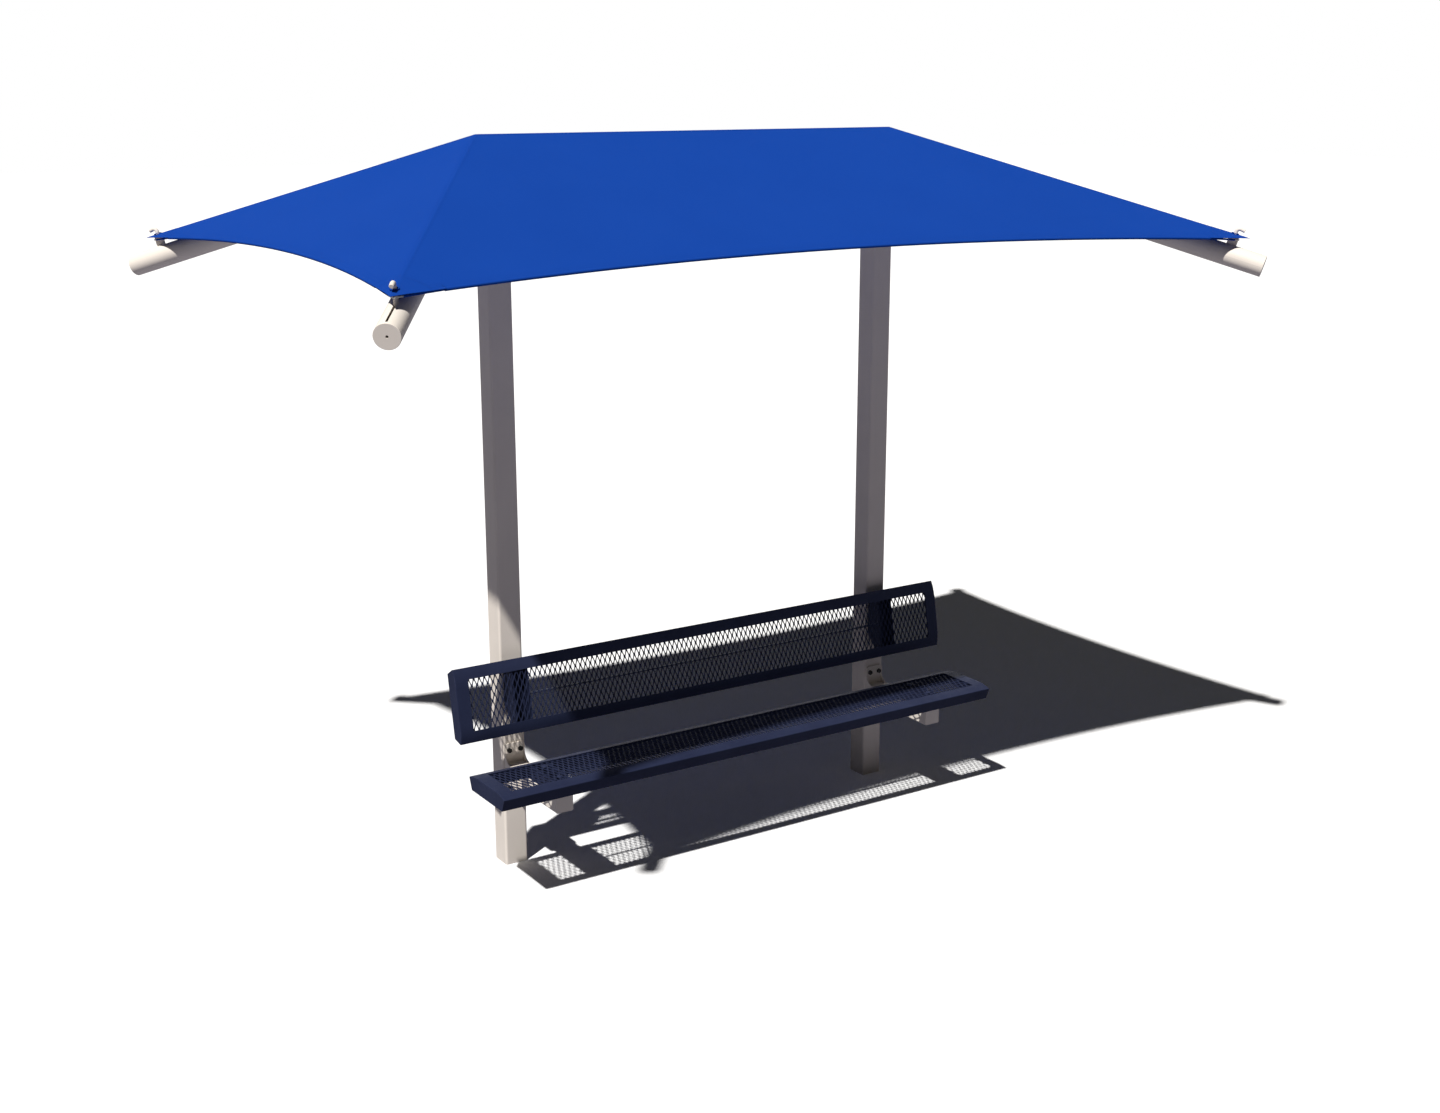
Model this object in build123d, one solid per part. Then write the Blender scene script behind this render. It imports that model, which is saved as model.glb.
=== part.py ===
from build123d import *
import math
import os

# Shaded bench for parks: two square posts carry a hip-shaped fabric canopy on four round rafters
# and a bench of coated expanded metal between them. Millimetres, +Z up, +X along the bench to the
# sitter's left, -Y to the front. The origin is on the ground, midway between the posts.

# Posts
post_spacing = 1863.2
post_width = 101.6
post_wall = 4.8
post_corner_radius = 9.5

# Rafters, ridge beam and the heads that join them to the posts
rafter_diameter = 88.9
rafter_wall = 4.8
head_offset = 29.2
head_diameter = 152.4
head_wall = 6.4
head_plate_thickness = 12.7
head_plate_corner_radius = 20.0
head_drop_below_axis = 76.0
rafter_axis_below_ridge = 64.4
rafter_axis_below_corner = 95.6
rafter_overhang = 91.0
rafter_start = 115.0
stub_length = 145.0
stub_wall = 6.4
slip_clearance = 0.3
ridge_beam_start = 100.0
post_insert_length = 190.0
post_insert_wall = 6.4

# Canopy, measured on the top edges of its eaves
canopy_half_length = 1898.0
canopy_half_width = 1257.0
canopy_corner_height = 2535.6
ridge_half_length = 991.8
ridge_height = 2969.3
front_scallop = 142.0
end_scallop = 97.5
fabric_thickness = 1.5
hem_radius = 5.0
hem_inset = 5.0
hem_sink = 1.0
hem_chords = 12
cable_radius = 3.2
cable_clearance = 0.3
corner_patch_reach = 200.0
fabric_clearance = 0.3

# Corner tensioners: a hooked carriage on a screw inside each rafter
rafter_cap_thickness = 6.4
rafter_cap_edge_radius = 1.5
key_hole_radius = 5.0
slot_width = 8.0
slot_outer_margin = 11.0
stem_width = 42.0
stem_inset = 62.0
stem_side_clearance = 0.3
stem_edge_radius = 2.5
stem_below_fabric = 6.0
groove_offset = 1.0
groove_below_fabric = 20.0
loop_bend_radius = 14.0
loop_start_gap = 6.0
horn_radius = 8.0
horn_bend_radius = 15.0
horn_rise = 8.0
horn_root = 16.0
horn_reach = 17.0
horn_bend_angle = 98.0
horn_tip_radius = 2.0
horn_hole_clearance = 0.8
travel_in = 60.0
slot_end_clearance = 3.0
guide_disc_thickness = 8.0
guide_clearance = 0.3
nut_barrel_radius = 14.0
nut_barrel_length = 40.0
screw_radius = 6.35
screw_head_radius = 11.0
screw_head_height = 8.0
screw_socket_width = 8.0
screw_socket_depth = 5.0
screw_running_clearance = 0.06
screw_end_clearance = 0.3
screw_spare_length = 14.0
thrust_plate_thickness = 5.0

# Seat and back planks: formed steel rims round expanded metal
bench_length = 2438.4
plank_width = 304.8
plank_roll_reach = 75.0
plank_roll_drop = 14.5
plank_skirt = 50.8
plank_wall = 4.5
plank_edge_radius = 2.5
rim_width = 48.0
rim_end_width = 57.0
seat_centre_y = -380.5
seat_edge_height = 503.3
back_centre_y = -132.5
back_centre_z = 761.8
back_recline = 10.45
mesh_thickness = 4.0
mesh_overlap = 14.0
mesh_gap = 0.3
mesh_pitch_along = 46.8
mesh_pitch_across = 101.6
mesh_strand = 7.0
stringer_thickness = 5.0
stringer_depth = 22.0

# Arms, saddles and brackets
arm_width = 76.2
arm_wall = 3.2
arm_corner_radius = 6.4
arm_top = 452.0
arm_front_y = -482.0
arm_cap_thickness = 3.2
saddle_width = 76.2
saddle_plate = 5.0
bracket_plate = 6.4
bracket_top = 534.0
bracket_bottom = 324.0
bracket_corner_radius = 16.0
bracket_toe_y = -168.0
bracket_ear_y = -100.0
bracket_ear_root_z = 500.0
bracket_toe_drop = 6.0
arm_side_clearance = 0.5
back_bracket_top = 846.0
back_bracket_bottom = 704.0
back_bracket_front_drop = 46.0

# Bolts
bolt_radius = 6.35
bolt_hole_clearance = 0.5
bolt_head_width = 19.0
bolt_head_height = 7.6
nut_height = 10.0
bolt_end = 3.0
dome_head_radius = 12.5
dome_head_height = 6.0
head_bolt_depths = (66.0, 142.0)
rafter_bolt_setback = 70.0
seat_bracket_bolt_height = 505.0
seat_bracket_low_bolt_height = 346.0
seat_bracket_bolt_spacing = 50.8
arm_bolt_ys = (-92.0, -140.0)
seat_bolt_ys = (-446.0, -318.0)
back_bolt_heights = (806.0, 748.0)

# One overrun serves every cut
overrun = 5.0

# Sizes that follow from the ones above
half_spacing = post_spacing / 2
half_post = post_width / 2
rafter_radius = rafter_diameter / 2
rafter_bore = rafter_radius - rafter_wall
stub_radius = rafter_bore - slip_clearance
head_x = half_spacing + head_offset
head_radius = head_diameter / 2
rafter_node_z = ridge_height - rafter_axis_below_ridge
post_top = rafter_node_z - head_drop_below_axis - head_plate_thickness
front_slope = (ridge_height - canopy_corner_height) / canopy_half_width
end_slope = (ridge_height - canopy_corner_height) / (canopy_half_length - ridge_half_length)
front_roof_angle = math.atan(front_slope)
ridge_beam_z = ridge_height - fabric_thickness - fabric_clearance - rafter_radius / math.cos(front_roof_angle)
hem_bore = cable_radius + cable_clearance
back_tilt = 90 - back_recline
plank_flat_half = plank_width / 2 - plank_roll_reach
roll_radius = (plank_roll_reach**2 + plank_roll_drop**2) / (2 * plank_roll_drop)
skirt_lean = math.asin(plank_roll_reach / roll_radius)
stem_thickness = slot_width - 2 * stem_side_clearance
arm_bottom = arm_top - arm_width
bracket_inner_half = arm_width / 2 + arm_side_clearance
bracket_outer_half = bracket_inner_half + bracket_plate
bracket_face_y = -half_post - bracket_plate
bolt_hole_radius = bolt_radius + bolt_hole_clearance

SIDES = (("left", -1), ("right", 1))
CORNERS = (("front_left", -1, -1), ("front_right", 1, -1), ("rear_left", -1, 1), ("rear_right", 1, 1))


def rod(start, end, radius):
    """A round bar from one point to another."""
    start, end = Vector(start), Vector(end)
    plane = Plane(origin=start, z_dir=end - start)
    return extrude(plane * Circle(radius), amount=(end - start).length)


def tube(start, end, radius, wall):
    """A round tube, open at both ends."""
    start, end = Vector(start), Vector(end)
    step = (end - start).normalized() * overrun
    return rod(start, end, radius) - rod(start - step, end + step, radius - wall)


def square_tube(plane, width, wall, corner_radius, length):
    """A square tube that starts on a plane and runs along its normal."""
    outer = RectangleRounded(width, width, corner_radius)
    inner = RectangleRounded(width - 2 * wall, width - 2 * wall, corner_radius - wall / 2)
    return extrude(plane * (outer - inner), amount=length)


def polygon_prism(plane, points, thickness):
    """A flat plate with a straight-sided outline, centred on its plane."""
    outline = make_face(Polyline(*[plane.from_local_coords(p) for p in points], close=True))
    return extrude(outline, amount=thickness / 2, both=True)


# Fasteners: each bolt is given by the point under its head, its direction and its grip
def bolt_hole(spot, grip):
    start, direction = spot
    return rod(start - direction * overrun, start + direction * (grip + overrun), bolt_hole_radius)


def hex_bolt(spot, grip):
    start, direction = spot
    plane = Plane(origin=start, z_dir=-direction)
    head = extrude(plane * RegularPolygon(bolt_head_width / 2, 6, major_radius=False), amount=bolt_head_height)
    return head + rod(start, start + direction * (grip + nut_height + bolt_end), bolt_radius)


def dome_bolt(spot, grip):
    start, direction = spot
    ball_radius = (dome_head_radius**2 + dome_head_height**2) / (2 * dome_head_height)
    centre = start + direction * (ball_radius - dome_head_height)
    ball = Pos(*centre) * Sphere(ball_radius)
    head = ball & rod(start, start - direction * 2 * dome_head_height, dome_head_radius)
    return head + rod(start, start + direction * (grip + nut_height + bolt_end), bolt_radius)


def lock_nut(spot, grip):
    start, direction = spot
    plane = Plane(origin=start + direction * grip, z_dir=direction)
    ring = RegularPolygon(bolt_head_width / 2, 6, major_radius=False) - Circle(bolt_radius + slip_clearance)
    return extrude(plane * ring, amount=nut_height)


# Frame of each rafter: its axis runs down and outward, "up" stands square to it in the same upright plane
def node_point(sx):
    return Vector(sx * head_x, 0, rafter_node_z)


def canopy_corner(sx, sy):
    return Vector(sx * canopy_half_length, sy * canopy_half_width, canopy_corner_height)


def rafter_frame(sx, sy):
    under_corner = canopy_corner(sx, sy) - Vector(0, 0, rafter_axis_below_corner)
    axis = (under_corner - node_point(sx)).normalized()
    side = axis.cross(Vector(0, 0, 1)).normalized()
    up = side.cross(axis)
    return Plane(origin=node_point(sx), x_dir=side, z_dir=axis), axis, up


def along_rafter(sx, sy, distance, height=0):
    plane, axis, up = rafter_frame(sx, sy)
    return plane.origin + axis * distance + up * height


def corner_station(sx, sy):
    """Where the canopy's corner stands along and above the rafter's axis."""
    plane, axis, up = rafter_frame(sx, sy)
    reach = canopy_corner(sx, sy) - plane.origin
    return reach.dot(axis), reach.dot(up)


corner_distance, corner_rise = corner_station(1, -1)
rafter_end = corner_distance + rafter_overhang
cap_inner = rafter_end - rafter_cap_thickness
stem_distance = corner_distance - stem_inset
slot_start = stem_distance - stem_width / 2 - travel_in - slot_end_clearance
slot_end = rafter_end - slot_outer_margin
screw_head_start = cap_inner - screw_end_clearance
thrust_plate_outer = screw_head_start - screw_head_height - screw_end_clearance
thrust_plate_inner = thrust_plate_outer - thrust_plate_thickness
screw_tip = stem_distance - nut_barrel_length / 2 - travel_in - screw_spare_length


# Canopy surfaces: four flat panels with scalloped eaves
def eave(sx, sy):
    """Ends and middle of one eave, on the canopy's top surface: sx or sy is zero for a long or a short side."""
    if sx == 0:
        a, b = canopy_corner(-1, sy), canopy_corner(1, sy)
        rise = front_slope * front_scallop
        middle = Vector(0, sy * (canopy_half_width - front_scallop), canopy_corner_height + rise)
    else:
        a, b = canopy_corner(sx, -1), canopy_corner(sx, 1)
        rise = end_slope * end_scallop
        middle = Vector(sx * (canopy_half_length - end_scallop), 0, canopy_corner_height + rise)
    return a, middle, b


def panel_normal(sx, sy):
    if sx == 0:
        return Vector(0, sy * math.sin(front_roof_angle), math.cos(front_roof_angle))
    end_roof_angle = math.atan(end_slope)
    return Vector(sx * math.sin(end_roof_angle), 0, math.cos(end_roof_angle))


def panel_plate(sx, sy):
    """One panel out to its corners. Every panel is as thick as its neighbours upright, so they mitre at the hips."""
    a, middle, b = eave(sx, sy)
    ridge_a = Vector(-ridge_half_length if sx == 0 else sx * ridge_half_length, 0, ridge_height)
    ridge_b = Vector(ridge_half_length, 0, ridge_height)
    edges = [ThreePointArc(a, middle, b), Line(a, ridge_a)]
    if sx == 0:
        edges += [Line(ridge_a, ridge_b), Line(ridge_b, b)]
    else:
        edges += [Line(ridge_a, b)]
    return extrude(make_face(edges), amount=fabric_thickness, dir=(0, 0, -1))


def hem_line(sx, sy):
    """Centre line of one hem: the eave's arc in short chords, moved in from the edge and down under the fabric.

    The top of the round sleeve is sunk into the fabric's underside, so that the two are one piece.
    """
    normal = panel_normal(sx, sy)
    depth = fabric_thickness * normal.Z + hem_radius - hem_sink
    ends_and_middle = eave(sx, sy)
    centre = ThreePointArc(*ends_and_middle).arc_center
    moved = [p + (p - centre).normalized() * hem_inset - normal * depth for p in ends_and_middle]
    arc = ThreePointArc(*moved)
    return Polyline([arc @ (i / hem_chords) for i in range(hem_chords + 1)])


def along_hem(sx, sy, section, end_cut=0):
    """A round section carried along one hem line, short of both its ends by a cut."""
    line = hem_line(sx, sy)
    share_cut = end_cut / line.length
    line = line.trim(share_cut, 1 - share_cut)
    start = Plane(origin=line @ 0, z_dir=line % 0)
    return sweep(start * section, path=line, transition=Transition.RIGHT)


def patch_ends(sx, sy):
    """Where a corner patch ends on the two hem lines that meet at its corner."""
    front, end = hem_line(0, sy), hem_line(sx, 0)
    on_front = corner_patch_reach / front.length
    on_end = corner_patch_reach / end.length
    return front @ (on_front if sx < 0 else 1 - on_front), end @ (on_end if sy < 0 else 1 - on_end)


def corner_zone(sx, sy):
    """The upright block that holds one corner of the canopy, out past the patch's inner edge."""
    p, q = patch_ends(sx, sy)
    flat_p, flat_q = Vector(p.X, p.Y, 0), Vector(q.X, q.Y, 0)
    outward = Vector(sx * canopy_half_length, sy * canopy_half_width, 0) - (flat_p + flat_q) * 0.5
    line = (flat_q - flat_p).normalized()
    inward_part = line * outward.dot(line)
    outward = (outward - inward_part).normalized()
    size = 2 * corner_patch_reach
    middle = (flat_p + flat_q) * 0.5 + outward * size / 2 + Vector(0, 0, canopy_corner_height)
    return Plane(origin=middle, x_dir=outward, z_dir=(0, 0, 1)) * Box(size, 2 * size, 2 * size)


def four_corner_zones():
    return [corner_zone(sx, sy) for _, sx, sy in CORNERS]


def canopy_panel(sx, sy):
    sleeve = along_hem(sx, sy, Circle(hem_radius) - Circle(hem_bore))
    return panel_plate(sx, sy) + sleeve - four_corner_zones()


def edge_cable():
    """The lengths of cable in the hems; each stands out of its hem to meet the turns round the hooks."""
    sides = ((0, -1), (0, 1), (-1, 0), (1, 0))
    end_cut = corner_patch_reach - loop_start_gap + 2 * cable_clearance
    return [along_hem(sx, sy, Circle(cable_radius), end_cut) for sx, sy in sides]


def horn_line(sx, sy):
    """Path of the horn: up through the fabric, over a bend and outward along the rafter."""
    plane, axis, up = rafter_frame(sx, sy)
    root = along_rafter(sx, sy, stem_distance, corner_rise - horn_root)
    shoulder = along_rafter(sx, sy, stem_distance, corner_rise + horn_rise)
    rise = Line(root, shoulder)
    centre = shoulder + axis * horn_bend_radius
    turn = math.radians(horn_bend_angle)
    middle = centre + (up * math.sin(turn / 2) - axis * math.cos(turn / 2)) * horn_bend_radius
    crest = centre + (up * math.sin(turn) - axis * math.cos(turn)) * horn_bend_radius
    bend = ThreePointArc(shoulder, middle, crest)
    tip = crest + (axis * math.sin(turn) + up * math.cos(turn)) * horn_reach
    return Wire([rise, bend, Line(crest, tip)])


def horn(sx, sy):
    path = horn_line(sx, sy)
    bar = sweep(Plane(origin=path @ 0, z_dir=path % 0) * Circle(horn_radius), path=path)
    end_edge = bar.edges().filter_by(GeomType.CIRCLE).sort_by_distance(path @ 1)[0]
    return fillet(end_edge, horn_tip_radius)


def stem_block(sx, sy, width, thickness, low, high, edge_radius):
    """A flat bar that stands on a rafter's axis at the hook, with its outer edges rounded."""
    plane, axis, up = rafter_frame(sx, sy)
    foot = Plane(origin=along_rafter(sx, sy, stem_distance, low), x_dir=axis, z_dir=up)
    return extrude(foot * RectangleRounded(width, thickness, edge_radius), amount=high - low)


def tension_hook(sx, sy):
    """Carriage inside the rafter, stem through the slot, and horn above the fabric: one welded piece.

    The stem's outer edge has a groove for the turn of the edge cable.
    """
    plane, axis, up = rafter_frame(sx, sy)
    stem_top = corner_rise - stem_below_fabric
    body = stem_block(sx, sy, stem_width, stem_thickness, 0, stem_top, stem_edge_radius)
    half = nut_barrel_length / 2
    ends = [along_rafter(sx, sy, stem_distance + side * half) for side in (-1, 1)]
    body += rod(ends[0], ends[1], nut_barrel_radius)
    disc_radius = rafter_bore - guide_clearance
    for side in (-1, 1):
        outer = along_rafter(sx, sy, stem_distance + side * half)
        inner = along_rafter(sx, sy, stem_distance + side * (half - guide_disc_thickness))
        body += rod(inner, outer, disc_radius)
    body += horn(sx, sy)
    seat, to_p, to_q = loop_seat(sx, sy)
    groove_radius = cable_radius + cable_clearance + stem_thickness**2 / (8 * loop_bend_radius)
    reach = (to_p - to_q).normalized() * stem_width
    return body - tension_screw_bore(sx, sy) - rod(seat - reach, seat + reach, groove_radius)


def tension_screw_bore(sx, sy):
    bore = screw_radius + screw_running_clearance
    start = along_rafter(sx, sy, stem_distance - nut_barrel_length)
    return rod(start, along_rafter(sx, sy, stem_distance + nut_barrel_length), bore)


def tension_screw(sx, sy):
    head_inner = screw_head_start - screw_head_height
    shank = rod(along_rafter(sx, sy, screw_tip), along_rafter(sx, sy, head_inner), screw_radius)
    head = rod(along_rafter(sx, sy, head_inner), along_rafter(sx, sy, screw_head_start), screw_head_radius)
    plane, axis, up = rafter_frame(sx, sy)
    mouth = Plane(origin=along_rafter(sx, sy, screw_head_start), x_dir=plane.x_dir, z_dir=-axis)
    socket = extrude(mouth * RegularPolygon(screw_socket_width / 2, 6, major_radius=False), amount=screw_socket_depth)
    return shank + head - socket


def thrust_plate(sx, sy):
    inner = along_rafter(sx, sy, thrust_plate_inner)
    outer = along_rafter(sx, sy, thrust_plate_outer)
    disc = rod(inner, outer, rafter_bore - slip_clearance)
    bore_start = along_rafter(sx, sy, thrust_plate_inner - overrun)
    bore_end = along_rafter(sx, sy, thrust_plate_outer + overrun)
    return disc - rod(bore_start, bore_end, screw_radius + screw_running_clearance)


def rafter_cap(sx, sy):
    disc = rod(along_rafter(sx, sy, cap_inner), along_rafter(sx, sy, rafter_end), rafter_radius)
    rims = disc.edges().filter_by(GeomType.CIRCLE).sort_by_distance(along_rafter(sx, sy, rafter_end))
    disc = fillet(rims[0], rafter_cap_edge_radius)
    start = along_rafter(sx, sy, cap_inner - overrun)
    return disc - rod(start, along_rafter(sx, sy, rafter_end + overrun), key_hole_radius)


def rafter_bolt_spots(sx, sy):
    plane, axis, up = rafter_frame(sx, sy)
    centre = along_rafter(sx, sy, rafter_start + rafter_bolt_setback)
    return centre - plane.x_dir * rafter_radius, plane.x_dir


def ridge_bolt_spot(sx):
    across = Vector(sx * (head_x - ridge_beam_start - rafter_bolt_setback), -rafter_radius, ridge_beam_z)
    return across, Vector(0, 1, 0)


def rafter(sx, sy):
    body = tube(along_rafter(sx, sy, rafter_start), along_rafter(sx, sy, cap_inner), rafter_radius, rafter_wall)
    plane, axis, up = rafter_frame(sx, sy)
    slot_length = slot_end - slot_start
    middle = along_rafter(sx, sy, (slot_start + slot_end) / 2)
    slot_plane = Plane(origin=middle, x_dir=axis, z_dir=up)
    body -= extrude(slot_plane * SlotOverall(slot_length, slot_width), amount=rafter_diameter)
    return body - bolt_hole(rafter_bolt_spots(sx, sy), rafter_diameter)


def ridge_beam():
    end = head_x - ridge_beam_start
    beam = tube((-end, 0, ridge_beam_z), (end, 0, ridge_beam_z), rafter_radius, rafter_wall)
    return beam - [bolt_hole(ridge_bolt_spot(sx), rafter_diameter) for _, sx in SIDES]


def head_bolt_spots(sx):
    spots = []
    for depth in head_bolt_depths:
        spots.append((Vector(sx * half_spacing, -half_post, post_top - depth), Vector(0, 1, 0)))
    return spots


def post_head(sx):
    """Welded head: an insert in the post, a plate on it, a drum with a low cone, and a stub for each beam."""
    plate_top = post_top + head_plate_thickness
    inner_x = half_spacing - half_post
    outer_x = head_x + head_radius
    plate = Plane(origin=(sx * (inner_x + outer_x) / 2, 0, post_top)) * RectangleRounded(
        outer_x - inner_x, head_diameter, head_plate_corner_radius
    )
    cone_top = ridge_height - fabric_thickness - fabric_clearance
    drum_top = cone_top - head_radius * front_slope
    outline = Polyline(
        (0, plate_top), (head_radius, plate_top), (head_radius, drum_top), (0, cone_top), close=True
    )
    drum_face = Plane.XZ * make_face(outline)
    drum = Pos(sx * head_x, 0, 0) * revolve(drum_face, Axis.Z)
    stubs = []
    cores = []
    for sy in (-1, 1):
        start = node_point(sx)
        end = along_rafter(sx, sy, rafter_start + stub_length)
        stubs.append(rod(start, end, stub_radius))
        cores.append(rod(start, end + (end - start).normalized() * overrun, stub_radius - stub_wall))
    start = Vector(sx * head_x, 0, ridge_beam_z)
    reach = Vector(-sx * (ridge_beam_start + stub_length), 0, 0)
    stubs.append(rod(start, start + reach, stub_radius))
    cores.append(rod(start, start + reach + reach.normalized() * overrun, stub_radius - stub_wall))
    hollow_radius = head_radius - head_wall
    hollow_top = drum_top - head_wall
    hollow = rod((sx * head_x, 0, plate_top), (sx * head_x, 0, hollow_top), hollow_radius)
    head = drum + stubs - cores - hollow
    head += extrude(plate, amount=head_plate_thickness)
    insert_width = post_width - 2 * post_wall - 2 * slip_clearance
    insert_plane = Plane(origin=(sx * half_spacing, 0, post_top - post_insert_length))
    insert_corner = post_corner_radius - post_wall / 2
    head += square_tube(insert_plane, insert_width, post_insert_wall, insert_corner, post_insert_length)
    head -= [bolt_hole(spot, post_width) for spot in head_bolt_spots(sx)]
    head -= [bolt_hole(rafter_bolt_spots(sx, sy), rafter_diameter) for sy in (-1, 1)]
    return head - bolt_hole(ridge_bolt_spot(sx), rafter_diameter)


# Bench: bolt places on the posts, arms and saddles
def seat_bracket_bolt_spots(sx):
    spots = []
    for height in (seat_bracket_bolt_height, seat_bracket_low_bolt_height):
        for side in (-1, 1):
            x = sx * half_spacing + side * seat_bracket_bolt_spacing / 2
            spots.append((Vector(x, bracket_face_y, height), Vector(0, 1, 0)))
    return spots


def arm_bolt_spots(sx):
    start_x = sx * half_spacing - bracket_outer_half
    height = (arm_top + arm_bottom) / 2
    return [(Vector(start_x, y, height), Vector(1, 0, 0)) for y in arm_bolt_ys]


def back_bolt_spots(sx):
    x = sx * half_spacing
    return [(Vector(x, bracket_face_y, z), Vector(0, 1, 0)) for z in back_bolt_heights]


def seat_bolt_spots(sx):
    """Each bolt stands upright, the underside of its head on top of the flat middle of the mesh."""
    top = seat_edge_height + plank_roll_drop - plank_wall
    return [(Vector(sx * half_spacing, y, top), Vector(0, 0, -1)) for y in seat_bolt_ys]


def post(sx):
    plane = Plane(origin=(sx * half_spacing, 0, 0))
    body = square_tube(plane, post_width, post_wall, post_corner_radius, post_top)
    body -= [bolt_hole(spot, post_width) for spot in head_bolt_spots(sx)]
    body -= [bolt_hole(spot, post_width + bracket_plate) for spot in seat_bracket_bolt_spots(sx)]
    return body - [bolt_hole(spot, post_width + bracket_plate) for spot in back_bolt_spots(sx)]


def seat_arm(sx):
    start_y = bracket_face_y - slip_clearance
    length = start_y - (arm_front_y + arm_cap_thickness)
    centre = ((sx * half_spacing), start_y, (arm_top + arm_bottom) / 2)
    plane = Plane(origin=centre, x_dir=(1, 0, 0), z_dir=(0, -1, 0))
    body = square_tube(plane, arm_width, arm_wall, arm_corner_radius, length)
    body -= [bolt_hole(spot, 2 * bracket_outer_half) for spot in arm_bolt_spots(sx)]
    return body - [bolt_hole(spot, spot[0].Z - arm_bottom) for spot in seat_bolt_spots(sx)]


def arm_cap(sx):
    centre = (sx * half_spacing, arm_front_y + arm_cap_thickness, (arm_top + arm_bottom) / 2)
    plane = Plane(origin=centre, x_dir=(1, 0, 0), z_dir=(0, -1, 0))
    return extrude(plane * RectangleRounded(arm_width, arm_width, arm_corner_radius), amount=arm_cap_thickness)


def seat_bracket(sx):
    """Back plate on the post with two cheeks that hold the arm and sweep up to it in a hollow curve."""
    x = sx * half_spacing
    height = bracket_top - bracket_bottom
    centre = (x, -half_post, (bracket_top + bracket_bottom) / 2)
    plate_plane = Plane(origin=centre, x_dir=(1, 0, 0), z_dir=(0, -1, 0))
    plate_outline = RectangleRounded(2 * bracket_outer_half, height, bracket_corner_radius)
    body = extrude(plate_plane * plate_outline, amount=bracket_plate)
    arm_bottom_edge = arm_bottom - bracket_toe_drop
    ear_bottom = Vector(bracket_ear_y, arm_top)
    ear_top = Vector(bracket_face_y, bracket_ear_root_z)
    chord_middle = (ear_bottom + ear_top) * 0.5
    hollow = chord_middle + Vector(ear_top.X - ear_bottom.X, ear_bottom.Y - ear_top.Y).normalized() * (
        (ear_top - ear_bottom).length / 5
    )
    for side in (-1, 1):
        plane = Plane(origin=(x + side * (bracket_inner_half + bracket_plate / 2), 0, 0), x_dir=(0, 1, 0), z_dir=(1, 0, 0))
        edges = [
            ThreePointArc(ear_bottom, hollow, ear_top),
            Line(ear_top, (-half_post, bracket_ear_root_z)),
            Line((-half_post, bracket_ear_root_z), (-half_post, arm_bottom_edge)),
            Line((-half_post, arm_bottom_edge), (bracket_toe_y, arm_bottom_edge)),
            Line((bracket_toe_y, arm_bottom_edge), (bracket_toe_y, arm_top)),
            Line((bracket_toe_y, arm_top), ear_bottom),
        ]
        cheek = extrude(plane * make_face(edges), amount=bracket_plate / 2, both=True)
        toe = cheek.edges().filter_by(Axis.X).sort_by(Axis.Y)[:2]
        body += fillet(toe, bracket_corner_radius)
    body -= [bolt_hole(spot, bracket_plate) for spot in seat_bracket_bolt_spots(sx)]
    return body - [bolt_hole(spot, 2 * bracket_outer_half) for spot in arm_bolt_spots(sx)]


# Planks: both have one profile, built face up with x along the bench and y across it, then put into
# place. Heights count from the long edges, where the skirts start square to the rolled face.
def plank_height(y):
    past_flat = max(0, abs(y) - plank_flat_half)
    return plank_roll_drop - roll_radius + math.sqrt(roll_radius**2 - past_flat**2)


def plank_solid(inset, bottom, edge_radius):
    """A bar with the plank's profile, taken in by an inset all round."""
    radius = roll_radius - inset
    turn = skirt_lean - math.asin(inset / radius)
    centre_z = plank_roll_drop - roll_radius

    def on_roll(side, angle):
        return side * (plank_flat_half + radius * math.sin(angle)), centre_z + radius * math.cos(angle)

    flat = [on_roll(side, 0) for side in (-1, 1)]
    corner = [on_roll(side, turn) for side in (-1, 1)]
    foot_half = corner[1][0] - (corner[1][1] - bottom) * math.tan(skirt_lean)
    foot = [(side * foot_half, bottom) for side in (-1, 1)]
    edges = [
        Line(flat[0], flat[1]),
        ThreePointArc(flat[1], on_roll(1, turn / 2), corner[1]),
        Line(corner[1], foot[1]),
        Line(foot[1], foot[0]),
        Line(foot[0], corner[0]),
        ThreePointArc(corner[0], on_roll(-1, turn / 2), flat[0]),
    ]
    profile = Plane(origin=(0, 0, 0), x_dir=(0, 1, 0), z_dir=(1, 0, 0)) * make_face(edges)
    bar = extrude(profile, amount=bench_length / 2 - inset, both=True)
    if edge_radius:
        upper = [edge for edge in bar.edges() if edge.center().Z > -edge_radius]
        at_end = [edge for edge in upper if abs(edge.center().X) > plank_flat_half]
        at_side = [edge for edge in upper if abs(edge.center().Y) > plank_width / 2 - edge_radius]
        bar = fillet(at_end + at_side, edge_radius)
    return bar


def plank_rim():
    outer = plank_solid(0, -plank_skirt, plank_edge_radius)
    inner = plank_solid(plank_wall, -plank_skirt - overrun, 0)
    opening = RectangleRounded(bench_length - 2 * rim_end_width, plank_width - 2 * rim_width, plank_wall)
    return outer - inner - extrude(opening, amount=2 * plank_skirt, both=True)


def net_rows():
    """Middle of each row of diamonds across a plank, and the step from row to row."""
    width_in = plank_width - 2 * rim_width
    rows = round(2 * width_in / mesh_pitch_across) - 1
    row_step = width_in / (rows + 1)
    return [(row - (rows - 1) / 2) * row_step for row in range(rows)], row_step


def under_net():
    """How far inside the plank's outline the net leaves room for what carries it."""
    rolled = plank_roll_reach - rim_width + mesh_overlap
    chord_drop = rolled**2 / (8 * roll_radius)
    return plank_wall + mesh_gap + mesh_thickness + chord_drop + mesh_gap


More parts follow.
